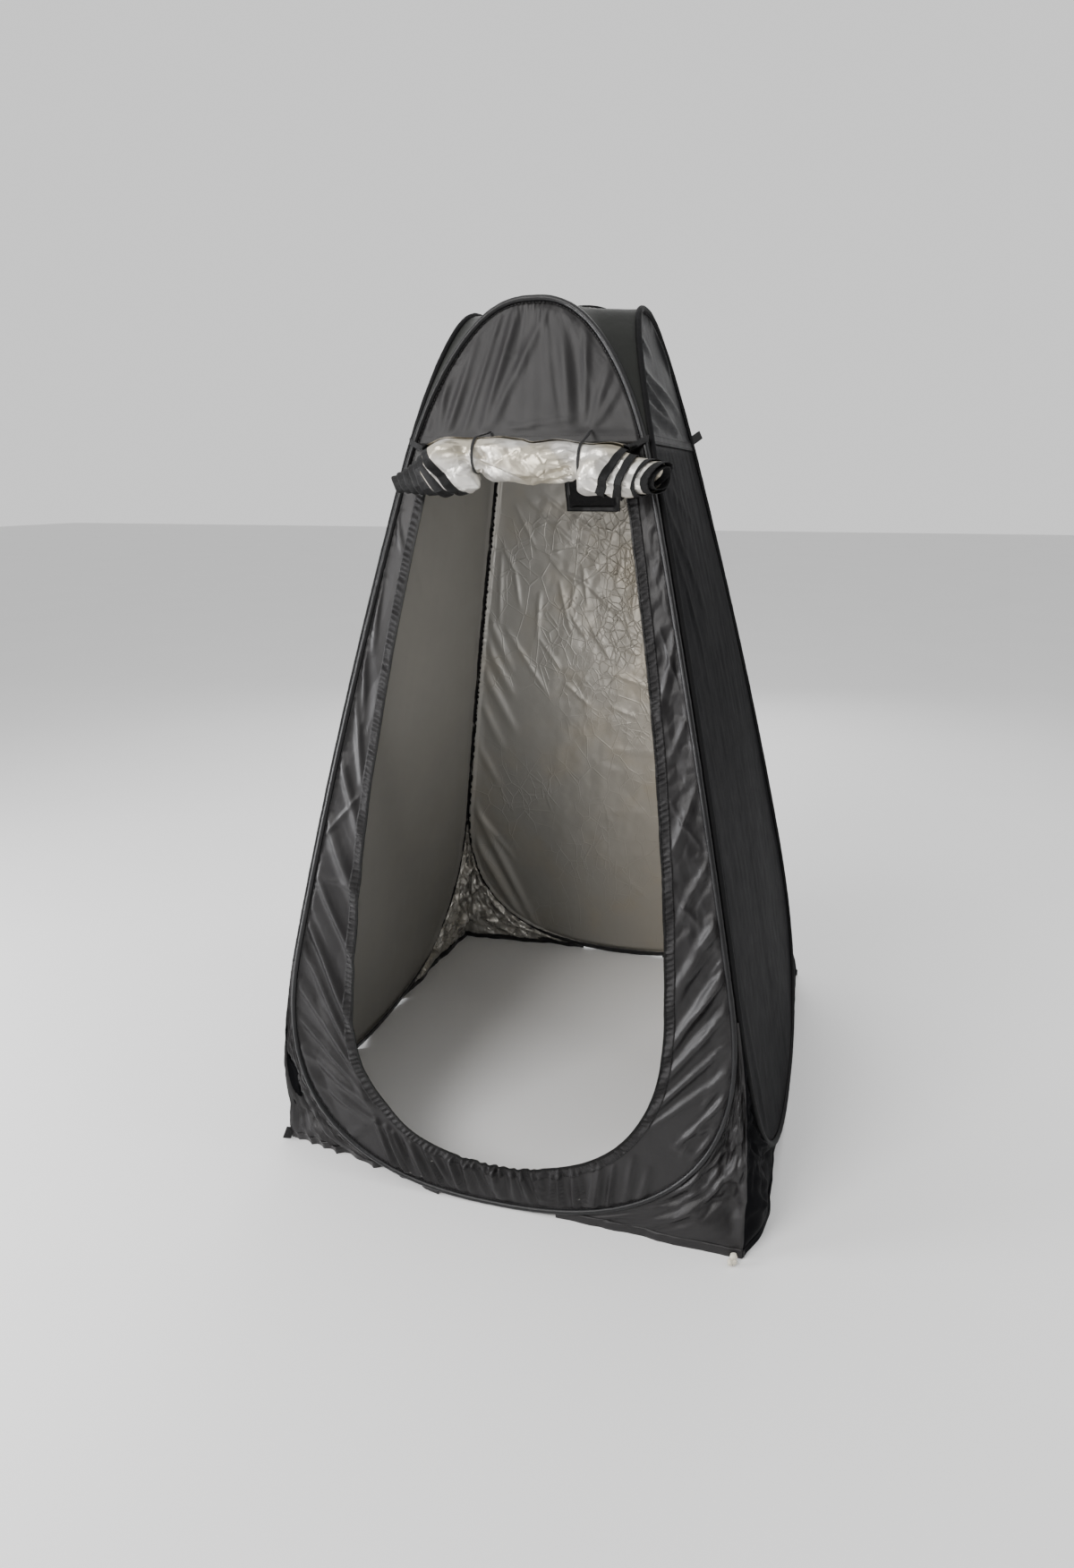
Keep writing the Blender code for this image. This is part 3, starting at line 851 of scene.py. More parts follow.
def stitch_row(mesh, path, normals, pitch, length, thick, wide=None):
    """Row of short stitches along a path, each a small block lying on the cloth."""
    path = evenly(np.hstack([path, normals]), pitch)
    for here, after in zip(path[:-1], path[1:]):
        along = Vector(after[:3] - here[:3]).normalized()
        up = Vector(here[3:]).normalized()
        turn = Matrix((along, up.cross(along), up)).transposed().to_4x4()
        size = Matrix.Diagonal((length, wide or thick, thick, 1))
        place = Matrix.Translation(Vector(here[:3])) @ turn @ size
        bmesh.ops.create_cube(mesh, size=1.0, matrix=place)


def wall_stitches(name, lines, pitch):
    """Rows of stitches on the walls. Each line is (face, (s, z) points, out)."""
    mesh = bmesh.new()
    for face, line, out in lines:
        spots = on_wall(face, line[:, 0], line[:, 1], out)
        away = np.tile([*NORMALS[face], 0.0], (len(line), 1)) * np.sign(out)
        stitch_row(mesh, spots, away, pitch, pitch * 0.55, sizes().stitch)
    piece(name, mesh, [thread], smooth=False)


def puckers(arc, pitch, seed):
    """Gathers along a sewn edge, about -1 to 1."""
    drift = wander(arc / 0.05, seed)
    return np.sin(2 * np.pi * (arc / pitch + drift)) * (0.7 + wander(arc / 0.03, seed, 4))


def behind_sleeve(edge):
    """How far a wall steps in to pass behind its hoop's sleeve."""
    return -WALL_STEP * (1 - ease(edge, 0.003, 0.0105))


def seen_from(face, points):
    """Points of a side wall, mirrored on the left one so that both sides have the same folds."""
    return points * np.array([1 if face == "right" else -1, 1])


def upper_relief(face, s, z):
    """How far an upper panel stands out from its wall."""
    points = np.stack([s, z], axis=1)
    edge, arc = beside(points, closed_hoop(face))
    if face in ("left", "right"):
        height = folded(seen_from(face, points), SIDE_UPPER_FOLDS)
    else:
        height = folded(points, UPPER_FOLDS) + folded(points, UPPER_CREASES, sharp=True)
        fan = np.stack([np.arctan2(s, FAN_TOP - z), np.hypot(s, FAN_TOP - z)], axis=1)
        height += 0.0014 * waves(fan, 0.085, (1, 0.18), seed=3) * ease(edge, 0.0, 0.05)
        height += 0.0012 * facets(fan, 0.16, (1, 0.35), seed=len(face))
    height += 0.003 * waves(points, 0.14, seed=len(face))
    gathers = 0.0022 * puckers(arc, 0.012, len(face)) * np.exp(-edge / 0.016)
    hem = 0.0016 * (1 - ease(z - RING, 0.017, 0.0195)) * ease(edge, 0.0, 0.01)
    seam = ease(z - RING, 0.018, 0.035)
    loose = (height * ease(edge, 0.004, 0.022) + gathers) * seam * sizes().fold_depth
    return loose + hem + behind_sleeve(edge)


def wall_grid(face, rows_z, relief, columns, rows):
    """Grid that fills a hoop between two heights, with the wall's relief."""

    def place(u, v):
        z = np.interp(v, np.linspace(0, 1, len(rows_z)), rows_z)
        s = (2 * u - 1) * (hoop_width(face, z) + WALL_REACH)
        return on_wall(face, s, z, relief(face, s, z)), np.stack([s, z], axis=1)

    return grid(columns, rows, place)


def wall(name, node, mesh, makers, face, rows_z):
    """Lined cloth stretched inside a hoop."""
    face_out(mesh)
    made = piece(name, mesh, makers, [node])
    thicken(made, sizes().cloth)
    area = 2 * np.trapz(hoop_width(face, rows_z), rows_z)


def upper_wall(face):
    rows_z = hoop_rows(face, RING, arch_top(face))
    columns, rows = (120, 64) if face == "front" else (84, 46)
    mesh = wall_grid(face, rows_z, upper_relief, columns, rows)
    outer = upper_cloth if face == "front" else upper_side_painted_shade_cloth
    flat = (2 * float(hoop_width(face, RING)), arch_top(face) - RING)
    makers = [outer, smooth_lining]
    wall(f"{face}_upper_wall", f"{face}_upper_panel", mesh, makers, face, rows_z)


def hoop_rows(face, low, high, fine=None):
    """Heights of rows across a wall, close together where the hoop bends and within fine."""
    z = np.linspace(low, high, 400)
    z[-1] = high - 1e-5 if high > SHOULDER + 0.1 else high
    z[0] = low + 1e-5 if low < KNEE - 0.1 else low
    width = hoop_width(face, z)
    step = np.hypot(np.diff(z), np.diff(width))
    if fine:
        step = np.where((z[1:] > fine[0]) & (z[1:] < fine[1]), step * 2, step)
    reach = np.r_[0, np.cumsum(step)]
    return np.interp(np.linspace(0, reach[-1], 280), reach, z)


def side_relief(face, s, z):
    """How far a side or back wall stands out."""
    points = np.stack([s, z], axis=1)
    edge, arc = beside(points, closed_hoop(face))
    if face == "back":
        height = -folded(points, BACK_FOLDS) - 1.7 * folded(points, BACK_CREASES, sharp=True)
        creased = ease(0.32 - s, 0.0, 0.25) * ease(z, 0.2, 0.5)
        height += 0.0016 * creased * facets(points, 0.055, (1, 0.7), 0.5, seed=3)
        height += 0.0008 * creased * facets(points, 0.025, (1, 0.7), 0.5, seed=8)
        height += 0.004 * waves(points, 0.25, (1, 0.5), seed=2)
    else:
        height = folded(seen_from(face, points), SIDE_FOLDS)
        height += 0.0005 * waves(points, 0.02, (1, 0.12), seed=len(face))
        height += 0.004 * waves(points, 0.3, (1, 0.4), seed=len(face))
    gathers = 0.001 * puckers(arc, 0.016, len(face)) * np.exp(-edge / 0.016)
    seam = ease(RING - z, 0.0, 0.02)
    loose = (height * ease(edge, 0.004, 0.03) + gathers) * seam * sizes().fold_depth
    return loose + behind_sleeve(edge)


def lower_wall(face):
    back = face == "back"
    rows_z = hoop_rows(face, SLEEVE, RING, CREASED_HEIGHTS if back else None)
    columns, rows = (172, 240) if back else (76, 112)
    mesh = wall_grid(face, rows_z, side_relief, columns, rows)
    if back:
        cut_window(mesh)
    flat = (2 * float(hoop_width(face, KNEE)), RING)
    makers = [side_painted_shade_cloth, wall_lining if back else smooth_lining]
    wall(f"{face}_lower_wall", f"{face}_lower_panel", mesh, makers, face, rows_z)


def window_box():
    low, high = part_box("window_binding")
    return low.x, high.x, low.z, high.z


def cut_box(mesh, inset):
    """Delete the faces inside the window's rectangle, an inset from its edge."""
    left, right, low, high = window_box()
    inside = []
    for face in mesh.faces:
        centre = face.calc_center_median()
        if left + inset < centre.x < right - inset and low + inset < centre.z < high - inset:
            inside.append(face)
    bmesh.ops.delete(mesh, geom=inside, context="FACES")


def cut_window(mesh):
    """Take the window's rectangle out of the back wall."""
    left, right, low, high = window_box()
    for spot, normal in (
        ((left, 0, 0), (1, 0, 0)),
        ((right, 0, 0), (1, 0, 0)),
        ((0, 0, low), (0, 0, 1)),
        ((0, 0, high), (0, 0, 1)),
    ):
        everything = mesh.verts[:] + mesh.edges[:] + mesh.faces[:]
        bmesh.ops.bisect_plane(mesh, geom=everything, dist=1e-6, plane_co=spot, plane_no=normal)
    cut_box(mesh, 0)


def door_curves():
    """Doorway's right half by its parameter: 0 at the seam, 1 where widest, 2 at the sill."""
    t = np.linspace(0, 2, 900)
    high = t < 1
    turn = np.clip(t - 1, 0, 1) * np.pi / 2
    door_z = np.where(
        high,
        RING - t * (RING - DOOR_WIDE_Z),
        DOOR_WIDE_Z - (DOOR_WIDE_Z - DOOR_SILL) * np.sin(turn) ** (2 / DOOR_POWER),
    )
    taper = DOOR_TAPER * np.maximum(door_z - DOOR_WIDE_Z, 0) ** DOOR_TAPER_POWER
    door_s = np.where(high, DOOR_HALF - taper, DOOR_HALF * np.cos(turn) ** (2 / DOOR_POWER))
    hoop_z = np.where(
        high,
        RING - t * (RING - KNEE),
        KNEE - (KNEE - SLEEVE) * np.sin(turn) ** (2 / FOOT_POWER),
    )
    hoop_s = (spread(hoop_z) - SEAM_INSET) * np.where(high, 1, np.cos(turn) ** (2 / FOOT_POWER))
    door = np.stack([door_s, door_z], axis=1)
    going = np.gradient(door, axis=0)
    going /= np.linalg.norm(going, axis=1)[:, None]
    into = np.stack([-going[:, 1], going[:, 0]], axis=1)
    return t, door, into, np.stack([hoop_s, hoop_z], axis=1)


def round_door(u):
    """Parameter and side for a share of the way round the doorway, evenly spaced."""
    t, door, _, _ = door_curves()
    reach = np.r_[0, np.cumsum(np.linalg.norm(np.diff(door, axis=0), axis=1))]
    share = 1 - np.abs(2 * u - 1)
    return np.interp(share * reach[-1], reach, t), np.sign(0.5 - u) + (u == 0.5), share * reach[-1]


def door_offset(u, distance):
    """Points a distance from the doorway's edge into the wall, as (s, z)."""
    t, door, into, _ = door_curves()
    here, side, _ = round_door(u)
    s, z = (
        np.interp(here, t, door[:, k]) + distance * np.interp(here, t, into[:, k]) for k in (0, 1)
    )
    return np.stack([s * side, np.minimum(z, RING)], axis=1)


def pleats():
    """Short folds from the sill of the doorway down to the hoop."""
    made = []
    for i, s in enumerate(np.arange(PLEATS_FROM, PLEATS_TO, PLEAT_STEP)):
        sill = DOOR_SILL + 2.7 * abs(s) ** 3.1
        wide = 0.0062 + 0.0016 * math.sin(i * 2.3)
        top = s - 0.01 + 0.006 * math.sin(i * 2.9)
        foot = s * 0.88 + 0.02 + 0.012 * math.sin(i * 1.3)
        foot_z = 0.015 + 0.02 * math.sin(i * 3.1) ** 2
        made.append(((top, sill), (foot, foot_z), wide, 0.011 + 0.003 * math.sin(i * 1.7)))
    return made


def combs():
    """Short parallel folds that start at the hoop's sleeve, right of the doorway."""
    made = []
    for i, z in enumerate(np.arange(COMB_FROM, COMB_TO, COMB_STEP)):
        s = float(hoop_width("front", z)) - 0.002
        long = 0.07 + 0.03 * math.sin(i * 1.9)
        made.append(((s, z), (s - 0.62 * long, z - long), 0.0055, 0.0045 + 0.001 * math.sin(i * 2.7)))
    return made


def front_relief(s, z):
    """How far the cloth round the doorway stands out."""
    points = np.stack([s, z], axis=1)
    edge, arc = beside(points, closed_hoop("front"))
    height = folded(points, FRONT_FOLDS) + folded(points, pleats()) + folded(points, combs())
    height += folded(points, FRONT_CREASES, sharp=True)
    right = ease(s, 0.1, 0.3) * ease(z, 0.5, 0.7)
    left = ease(-s, 0.1, 0.3) * ease(z, 0.7, 0.95)
    height += 0.0026 * right * facets(points, 0.045, (1, 0.5), 0.3, seed=1)
    height += 0.0015 * right * facets(points, 0.022, (1, 0.6), -0.4, seed=2)
    height += 0.0016 * left * facets(points, 0.05, (1, 0.4), -0.2, seed=6)
    low_left = ease(-s, 0.1, 0.3) * ease(0.95 - z, 0.0, 0.3) * ease(z, 0.08, 0.25)
    low_right = ease(s, 0.1, 0.3) * ease(0.95 - z, 0.0, 0.3) * ease(z, 0.2, 0.35)
    height += 0.0045 * low_left * facets(points, 0.055, (1, 0.2), 0.42, seed=11)
    height += 0.0045 * low_right * facets(points, 0.05, (1, 0.22), -0.6, seed=12)
    height += 0.003 * waves(points, 0.11, (1, 0.5), seed=5)
    gathers = 0.0018 * puckers(arc, 0.021, 2) * np.exp(-edge / 0.012)
    seam = ease(RING - z, 0.0, 0.015)
    return (height * ease(edge, 0.003, 0.016) + gathers) * seam * sizes().fold_depth


def front_wall():
    t, _, _, hoop = door_curves()

    def place(u, v):
        here, side, _ = round_door(u)
        inner = door_offset(u, TAPE_SEEN - TAPE_OVERLAP)
        outer = np.stack([np.interp(here, t, hoop[:, 0]) * side, np.interp(here, t, hoop[:, 1])], axis=1)
        flat = outer + (inner - outer) * v[:, None]
        s, z = flat.T
        return on_wall("front", s, z, front_relief(s, z)), flat

    mesh = grid(640, 44, place)
    face_out(mesh)
    made = piece("front_lower_wall", mesh, [outer_cloth, smooth_lining], ["front_lower_panel"])
    thicken(made, sizes().cloth)


def door_tape():
    """Puckered tape round the doorway, with the zip's coil and its stitches."""

    def place(u, v):
        flat = door_offset(u, v * TAPE_SEEN)
        _, side, arc = round_door(u)
        s, z = flat.T
        slanted = arc + 5 * (side > 0) + 0.006 * v
        gather = 0.0028 * puckers(slanted, TAPE_PUCKER, 9) * np.sin(np.pi * np.clip(v, 0.05, 1)) ** 0.7
        return on_wall("front", s, z, front_relief(s, z) + 0.0016 + gather), flat

    mesh = grid(1500, 6, place)
    face_out(mesh)
    tape = piece("door_tape", mesh, [zip_tape], ["door_zip_tape"])
    thicken(tape, sizes().cloth, inner=0)
    around = np.linspace(0.002, 0.998, 1500)
    away = np.tile([0.0, -1.0, 0.0], (len(around), 1))

    def path(distance, out):
        line = door_offset(around, distance)
        return on_wall("front", *line.T, front_relief(*line.T) + out)

    stitches = bmesh.new()
    for distance in TAPE_SEAMS:
        stitch_row(stitches, path(distance, 0.0026), away, 0.006, 0.0034, sizes().stitch)
    sewn = piece("door_tape_stitches", stitches, [thread], smooth=False)
    teeth = bmesh.new()
    stitch_row(teeth, path(COIL_IN, 0.0022), away, COIL_PITCH, 0.0019, 0.0028, 0.0052)
    coil_piece = piece("door_zip_coil", teeth, [coil], smooth=False)


def hoop_sleeve(face):
    """Sleeve sewn round a sprung hoop: a tube gathered by its stitches."""
    line = hoop_line(face, 0.0075)
    path = on_wall(face, *line.T)
    sideways = np.array([*NORMALS[face], 0.0])

    def radius(arc, turn):
        gather = 0.09 * wander(arc / 0.006, 0, len(face))
        lift = 0.07 * wander(arc / 0.04, 3, len(face))
        return SLEEVE_RADIUS * (1 + gather + lift + 0.05 * np.cos(2 * turn))

    mesh = tube(path, sideways, radius, 12)
    # Hoops of the shaded sides get the darker tape, as painted shade.
    maker = binding if face == "front" else side_painted_shade_binding
    piece(f"{face}_hoop_sleeve", mesh, [maker], [f"{face}_hoop"])


def corner_seam(corner):
    """Narrow tape that closes the corner between two hoops, above the ground gusset."""
    first, second = (np.array(NORMALS[face], float) for face in CORNERS[corner])
    across = np.append(first - second, 0) / math.sqrt(2)

    def place(u, v):
        z = CORNER_TAPE_LOW + (CORNER_TAPE_HIGH - CORNER_TAPE_LOW) * v
        corners = np.outer(spread(z) - CORNER_TAPE_DEEP, first + second)
        aside = np.outer((u - 0.5) * CORNER_TAPE_WIDE, across)
        return np.hstack([corners, z[:, None]]) + aside, np.stack([u * CORNER_TAPE_WIDE, z], axis=1)

    mesh = grid(2, 90, place)
    face_out(mesh)
    made = piece(f"{corner}_corner_seam", mesh, [side_painted_shade_binding])
    thicken(made, CORNER_TAPE_THICK, inner=0)


def into_wall(line):
    """Directions from points of a hoop into its wall."""
    going = np.roll(line, -1, axis=0) - np.roll(line, 1, axis=0)
    going /= np.linalg.norm(going, axis=1)[:, None]
    return np.stack([going[:, 1], -going[:, 0]], axis=1)


def hoop_edging(face):
    """Flat black tape inside, where a hoop runs along the ground."""
    line = hoop_line(face, EDGING_STEP)
    into = into_wall(line)
    low = line[:, 1] < EDGING_TOP
    line, into = line[low], into[low]

    def place(u, v):
        index = np.rint(u * (len(line) - 1)).astype(int)
        fade = np.sin(np.pi * np.clip(u, 0.02, 0.98)) ** 0.35
        flat = line[index] + into[index] * (-0.004 + EDGING_WIDE * v * fade)[:, None]
        s, z = flat.T
        return on_wall(face, s, z, -WALL_STEP - 0.0022 + 0.0005 * np.sin(index * 1.9)), flat

    mesh = grid(len(line) - 1, 3, place)
    face_out(mesh)
    made = piece(f"{face}_hoop_edging", mesh, [binding])
    thicken(made, EDGING_THICK, inner=0)


def hoop_stitches(face):
    """Stitches beside a hoop's sleeve, outside."""
    line = hoop_line(face, EDGING_STEP)
    seam = line + into_wall(line) * HOOP_SEAM
    rows = [(face, np.vstack([seam, seam[:1]]), 0.0022)]
    wall_stitches(f"{face}_hoop_stitches", rows, 0.0075)


def roof():
    """One cloth over the top: a quarter for each corner, joined along the middle."""
    whole = bmesh.new()
    for first, second in CORNERS.values():
        quarter = roof_quarter(first, second)
        data = bpy.data.meshes.new("quarter")
        quarter.to_mesh(data)
        quarter.free()
        whole.from_mesh(data)
        bpy.data.meshes.remove(data)
    bmesh.ops.remove_doubles(whole, verts=whole.verts, dist=0.0004)
    inner = [v for v in whole.verts if not v.is_boundary]
    axes = {"use_axis_x": True, "use_axis_y": True, "use_axis_z": True}
    for _ in range(12):
        bmesh.ops.smooth_vert(whole, verts=inner, factor=0.5, **axes)
    face_out(whole, (0, 0, 1.2))
    made = piece("roof_cloth_panel", whole, [roof_cloth, smooth_lining], ["roof_panel"])
    thicken(made, sizes().cloth)


def roof_quarter(first, second):
    """The roof from the middle out to two arches and down the corner between them."""
    turn = np.linspace(0, np.pi / 2, 60)
    lift = np.cos(turn) ** (2 / ARCH_POWER)
    wide = np.sin(turn) ** (2 / ARCH_POWER)

    def arch(face, side, step):
        """Point of an arch: step 0 is the roof's middle, 1 the arch's top and 2 the shoulder."""
        top = arch_top(face)
        z = SHOULDER + (top - SHOULDER) * np.interp(step, np.linspace(1, 2, 60), lift)
        across = np.interp(step, np.linspace(1, 2, 60), wide)
        s = side * (spread(z) - SEAM_INSET) * across
        spot = on_wall(face, s, z)
        inner = np.clip(step, 0, 1)[:, None]
        middle = np.array([0, 0, TOP - 0.008])
        return np.where(step[:, None] < 1, middle + (spot - middle) * inner, spot)

    def place(u, v):
        step = v * 2
        one, other = arch(first, 1, step), arch(second, -1, step)
        spots = one + (other - one) * u[:, None]
        width = np.linalg.norm(other - one, axis=1)
        dip = np.sin(np.pi * u) * np.minimum(width / BASE_HALF, 0.5)
        away = np.stack([spots[:, 0], spots[:, 1], 0 * u], axis=1)
        away /= np.maximum(np.linalg.norm(away, axis=1), 1e-6)[:, None]
        flat = np.stack([(u - 0.5) * width, spots[:, 2] + np.hypot(spots[:, 0], spots[:, 1])], axis=1)
        ripple = 0.006 * waves(flat, 0.08, (1, 0.5), seed=len(first)) * np.sin(np.pi * u)
        fold = 0.004 * facets(flat, 0.07, (1, 0.6), seed=len(second)) * np.sin(np.pi * u)
        out = away * (ripple + fold - 0.022 * dip)[:, None] * ease(v, 0.0, 0.3)[:, None]
        down = np.stack([0 * u, 0 * u, -0.02 * dip + 0.3 * ripple * ease(v, 0.0, 0.15)], axis=1)
        return spots + out + down, flat

    return grid(34, 76, place)


def ground_seam(corner, z):
    """Points on the corner seam of a ground gusset, which hangs slack towards the ground."""
    first, second = (np.array(NORMALS[face], float) for face in CORNERS[corner])
    sign = first + second
    slack = np.array(GROUND_CORNERS[corner]) - sign * spread(0)
    share = (1 - np.minimum(z, GUSSET_TOP) / GUSSET_TOP) ** 2
    level = sign * spread(z)[:, None] + slack * share[:, None]
    return np.hstack([level, z[:, None]])


def gusset_spots(corner, u, z, out):
    """Points across a ground gusset: one wing up to u 0.5, then the other."""
    first, second = CORNERS[corner]
    reach = hoop_width("front", np.maximum(z, HEM))
    seam = ground_seam(corner, z)
    one = on_wall(first, reach, z)
    other = on_wall(second, -reach, z)
    near = np.where(u[:, None] < 0.5, one, other)
    share = np.where(u < 0.5, 2 * u, 2 - 2 * u)[:, None]
    flat = near + (seam - near) * share
    nx, ny = (np.array(NORMALS[face], float) for face in CORNERS[corner])
    weight = ease(u, 0.4, 0.6)[:, None]
    away = nx * (1 - weight) + ny * weight
    away /= np.linalg.norm(away, axis=1)[:, None]
    return flat + np.hstack([away * np.reshape(out, (-1, 1)), 0 * z[:, None]])


def gusset_relief(corner, u, z):
    """How far a gusset's slack cloth stands out, from seam to seam."""
    seed = len(corner) + (3 if "right" in corner else 0)
    points = np.stack([u * 0.42, z], axis=1)
    loose = ease(GUSSET_TOP - z, 0.0, 0.3)
    free = ease(np.minimum(u, 1 - u), 0.0, 0.08)
    seam = ease(np.abs(u - 0.5), 0.0, 0.03)
    big = facets(points, 0.065, (1, 0.8), 0.5, seed)
    small = facets(points, 0.028, (1, 0.8), -0.4, seed + 2)
    drape = waves(points, 0.05, (1, 0.12), 0.1, seed)
    height = CRUMPLES[corner] * (0.9 * big + 0.4 * small + 0.5 * drape)
    height *= 0.4 + 0.6 * ease(z, 0.0, 0.1)
    if corner == "front_left":
        pleated = waves(points, 0.03, (1, 0.1), 0.2, seed)
        height = -0.5 * np.abs(height) - 0.026 * np.abs(pleated)
    height *= free * (0.35 + 0.65 * seam)
    first, second = BULGES[corner]
    share = np.where(u < 0.5, 2 * u, 2 - 2 * u)
    bulge = np.where(u < 0.5, first, second) * np.sin(np.pi * share**2.6)
    tucked = bulge * ease(z, 0.02, 0.1) * ease(0.3 - z, 0.0, 0.12)
    height += np.where(bulge < 0, tucked, bulge * ease(0.3 - z, 0.0, 0.27))
    return height * loose * sizes().fold_depth


def mark_wings(mesh, corner, columns):
    """Give the wings that belong to the shaded walls the sides' darker cloth, whose colour is painted shade.
    """
    for index, face in enumerate(mesh.faces):
        wing = CORNERS[corner][int(index % columns >= columns / 2)]
        face.material_index = int(wing != "front")


def gusset(corner):
    def place(u, v):
        z = HEM + (GUSSET_TOP - HEM) * (1 - (1 - v) ** 1.3)
        spots = gusset_spots(corner, u, z, gusset_relief(corner, u, z))
        return spots, np.stack([u * 0.4, z], axis=1)

    mesh = grid(GUSSET_COLUMNS, GUSSET_ROWS, place)
    face_out(mesh)
    mark_wings(mesh, corner, GUSSET_COLUMNS)
    # Inside the front-left gusset the sides' dark cloth stands in for the silver lining, as painted shade.
    inner = side_painted_shade_cloth if corner == "front_left" else foil_lining
    makers = [outer_cloth, side_painted_shade_cloth, inner, inner]
    made = piece(f"{corner}_ground_gusset", mesh, makers, [f"{corner}_gusset"])
    thicken(made, sizes().cloth, inner=2)


def hem(corner):
    def place(u, v):
        z = 0.0006 + HEM_WIDE * v
        out = gusset_relief(corner, u, np.full_like(u, HEM)) + 0.0012
        return gusset_spots(corner, u, z, out), np.stack([u * 0.6, z], axis=1)

    mesh = grid(HEM_COLUMNS, 4, place)
    face_out(mesh)
    makers = [outer_cloth, side_painted_shade_cloth, binding, binding]
    mark_wings(mesh, corner, HEM_COLUMNS)
    made = piece(f"{corner}_hem_band", mesh, makers, [f"{corner}_hem"])
    thicken(made, HEM_THICK, inner=2)


def strap(name, node, columns, rows, place, thickness):
    """Webbing laid by a function of (u, v), in the place of its node."""
    mesh = grid(columns, rows, place)
    bmesh.ops.recalc_face_normals(mesh, faces=mesh.faces)
    made = piece(name, mesh, [webbing], [node])
    thicken(made, thickness, inner=0)
    return made


def tab(name, node, aim=None, lift=0.0):
    """Folded loop in its node's place, pointing along aim from a root that may be lifted."""
    low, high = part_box(node)
    middle = (low + high) / 2
    out = Vector((math.copysign(1, middle.x), math.copysign(1, middle.y), 0)).normalized()
    length = Vector((high.x - low.x, high.y - low.y, 0)).length * 0.5
    root = middle - out * length + Vector((0, 0, lift))
    along = Vector(aim).normalized() if aim else out
    across = Vector((out.y, -out.x, 0))
    wide = along.cross(across)
    width = (high.z - low.z) / 2 - 0.0005

    def place(u, v):
        bend = np.pi * np.clip((u - TAB_LEG) / (1 - 2 * TAB_LEG), 0, 1)
        leg = np.minimum(np.minimum(u, 1 - u) / TAB_LEG, 1)
        reach = leg * 2 * (length - TAB_GAP) + TAB_GAP * np.sin(bend) * (leg >= 1)
        spots = np.array(root) + np.outer(reach, along) + np.outer(TAB_GAP * np.cos(bend), across)
        return spots + np.outer((v * 2 - 1) * width, wide), np.stack([u * 0.06, v * 0.02], axis=1)

    made = strap(name, node, 40, 8, place, TAB_THICK)


def folded_loop(name, node, side):
    """Guy loop lying folded across the front sleeve, in place of its node."""
    start = side * (float(hoop_width("front", RING)) + 0.008)

    def place(u, v):
        fold = np.abs(2 * u - 1)
        s = start - side * 0.034 * fold
        z = RING + 0.009 - 0.017 * fold + (v - 0.5) * 0.012
        out = 0.0078 + 0.0026 * (u > 0.5) + 0.001 * np.sin(9 * u)
        return on_wall("front", s, z, out), np.stack([u * 0.06, v * 0.016], axis=1)

    made = strap(name, node, 40, 8, place, LOOP_THICK)


def knot():
    """Frayed knot of a short cream cord: two lumps and a few loose strands."""
    low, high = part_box("cord_knot")
    radius = (high.x - low.x) * 0.72
    middle = Vector((*KNOT_SPOT, radius * 1.02))
    mesh = bmesh.new()
    lumps = (((0.15, 0.4, 0.25), 0.62), ((-0.3, -0.3, -0.3), 0.55), ((0.3, -0.1, -0.3), 0.5))
    for shift, size in lumps:
        place = Matrix.Translation(middle + Vector(shift) * radius)
        bmesh.ops.create_icosphere(mesh, subdivisions=4, radius=size * radius, matrix=place)
    for vert in mesh.verts:
        away = (vert.co - middle).normalized()
        vert.co += away * 0.0011 * noise.noise(vert.co * 420) + away * 0.0014 * noise.noise(vert.co * 170)
    for i in range(9):
        turn = Matrix.Rotation(i * 0.7, 4, "Z") @ Matrix.Rotation(2.2 + 0.25 * math.sin(i * 2.1), 4, "X")
        place = Matrix.Translation(middle) @ turn @ Matrix.Translation((0, 0, radius * 0.75))
        bmesh.ops.create_cone(
            mesh, cap_ends=True, segments=6, radius1=0.0009, radius2=0.0003, depth=radius * 0.9, matrix=place
        )
    for vert in mesh.verts:
        vert.co.z = max(vert.co.z, 0.0002)
    piece("cream_cord_knot", mesh, [cream_cord], ["cord_knot"])


def roll_height(x):
    """Height of the rolled door's middle, a smooth line through ROLL_LINE."""
    spots = np.array(ROLL_LINE)
    dense = np.interp(np.linspace(-0.3, 0.34, 200), spots[:, 0], spots[:, 1])
    window = np.hanning(25)
    smooth = np.convolve(np.pad(dense, 12, mode="edge"), window / window.sum(), mode="valid")
    return np.interp(x, np.linspace(-0.3, 0.34, 200), smooth)


def roll_full(x):
    """Outer radius of the rolled door, pinched at its ties."""
    full = np.where((x > TIE_X[0]) & (x < TIE_X[1]), ROLL_MIDDLE, ROLL_FULL)
    nearest = np.minimum(np.abs(x - TIE_X[0]), np.abs(x - TIE_X[1]))
    beside_tie = np.maximum(nearest - 0.003, 0)
    return full - (full - ROLL_PINCH) * np.exp(-((beside_tie / PINCH_SPREAD) ** 2))


def roll_ends(turns):
    """Where the rolled door's two edges lie after so many turns from its outside."""
    wave = 0.0035 * wander(turns * 6, 2)
    count = np.arange(len(LEFT_ENDS))
    steps = np.maximum(np.floor(turns) + ease(turns % 1, 0.0, 0.42) - 1, 0)
    return np.interp(steps, count, LEFT_ENDS) + wave, np.interp(steps, count, RIGHT_ENDS) - wave


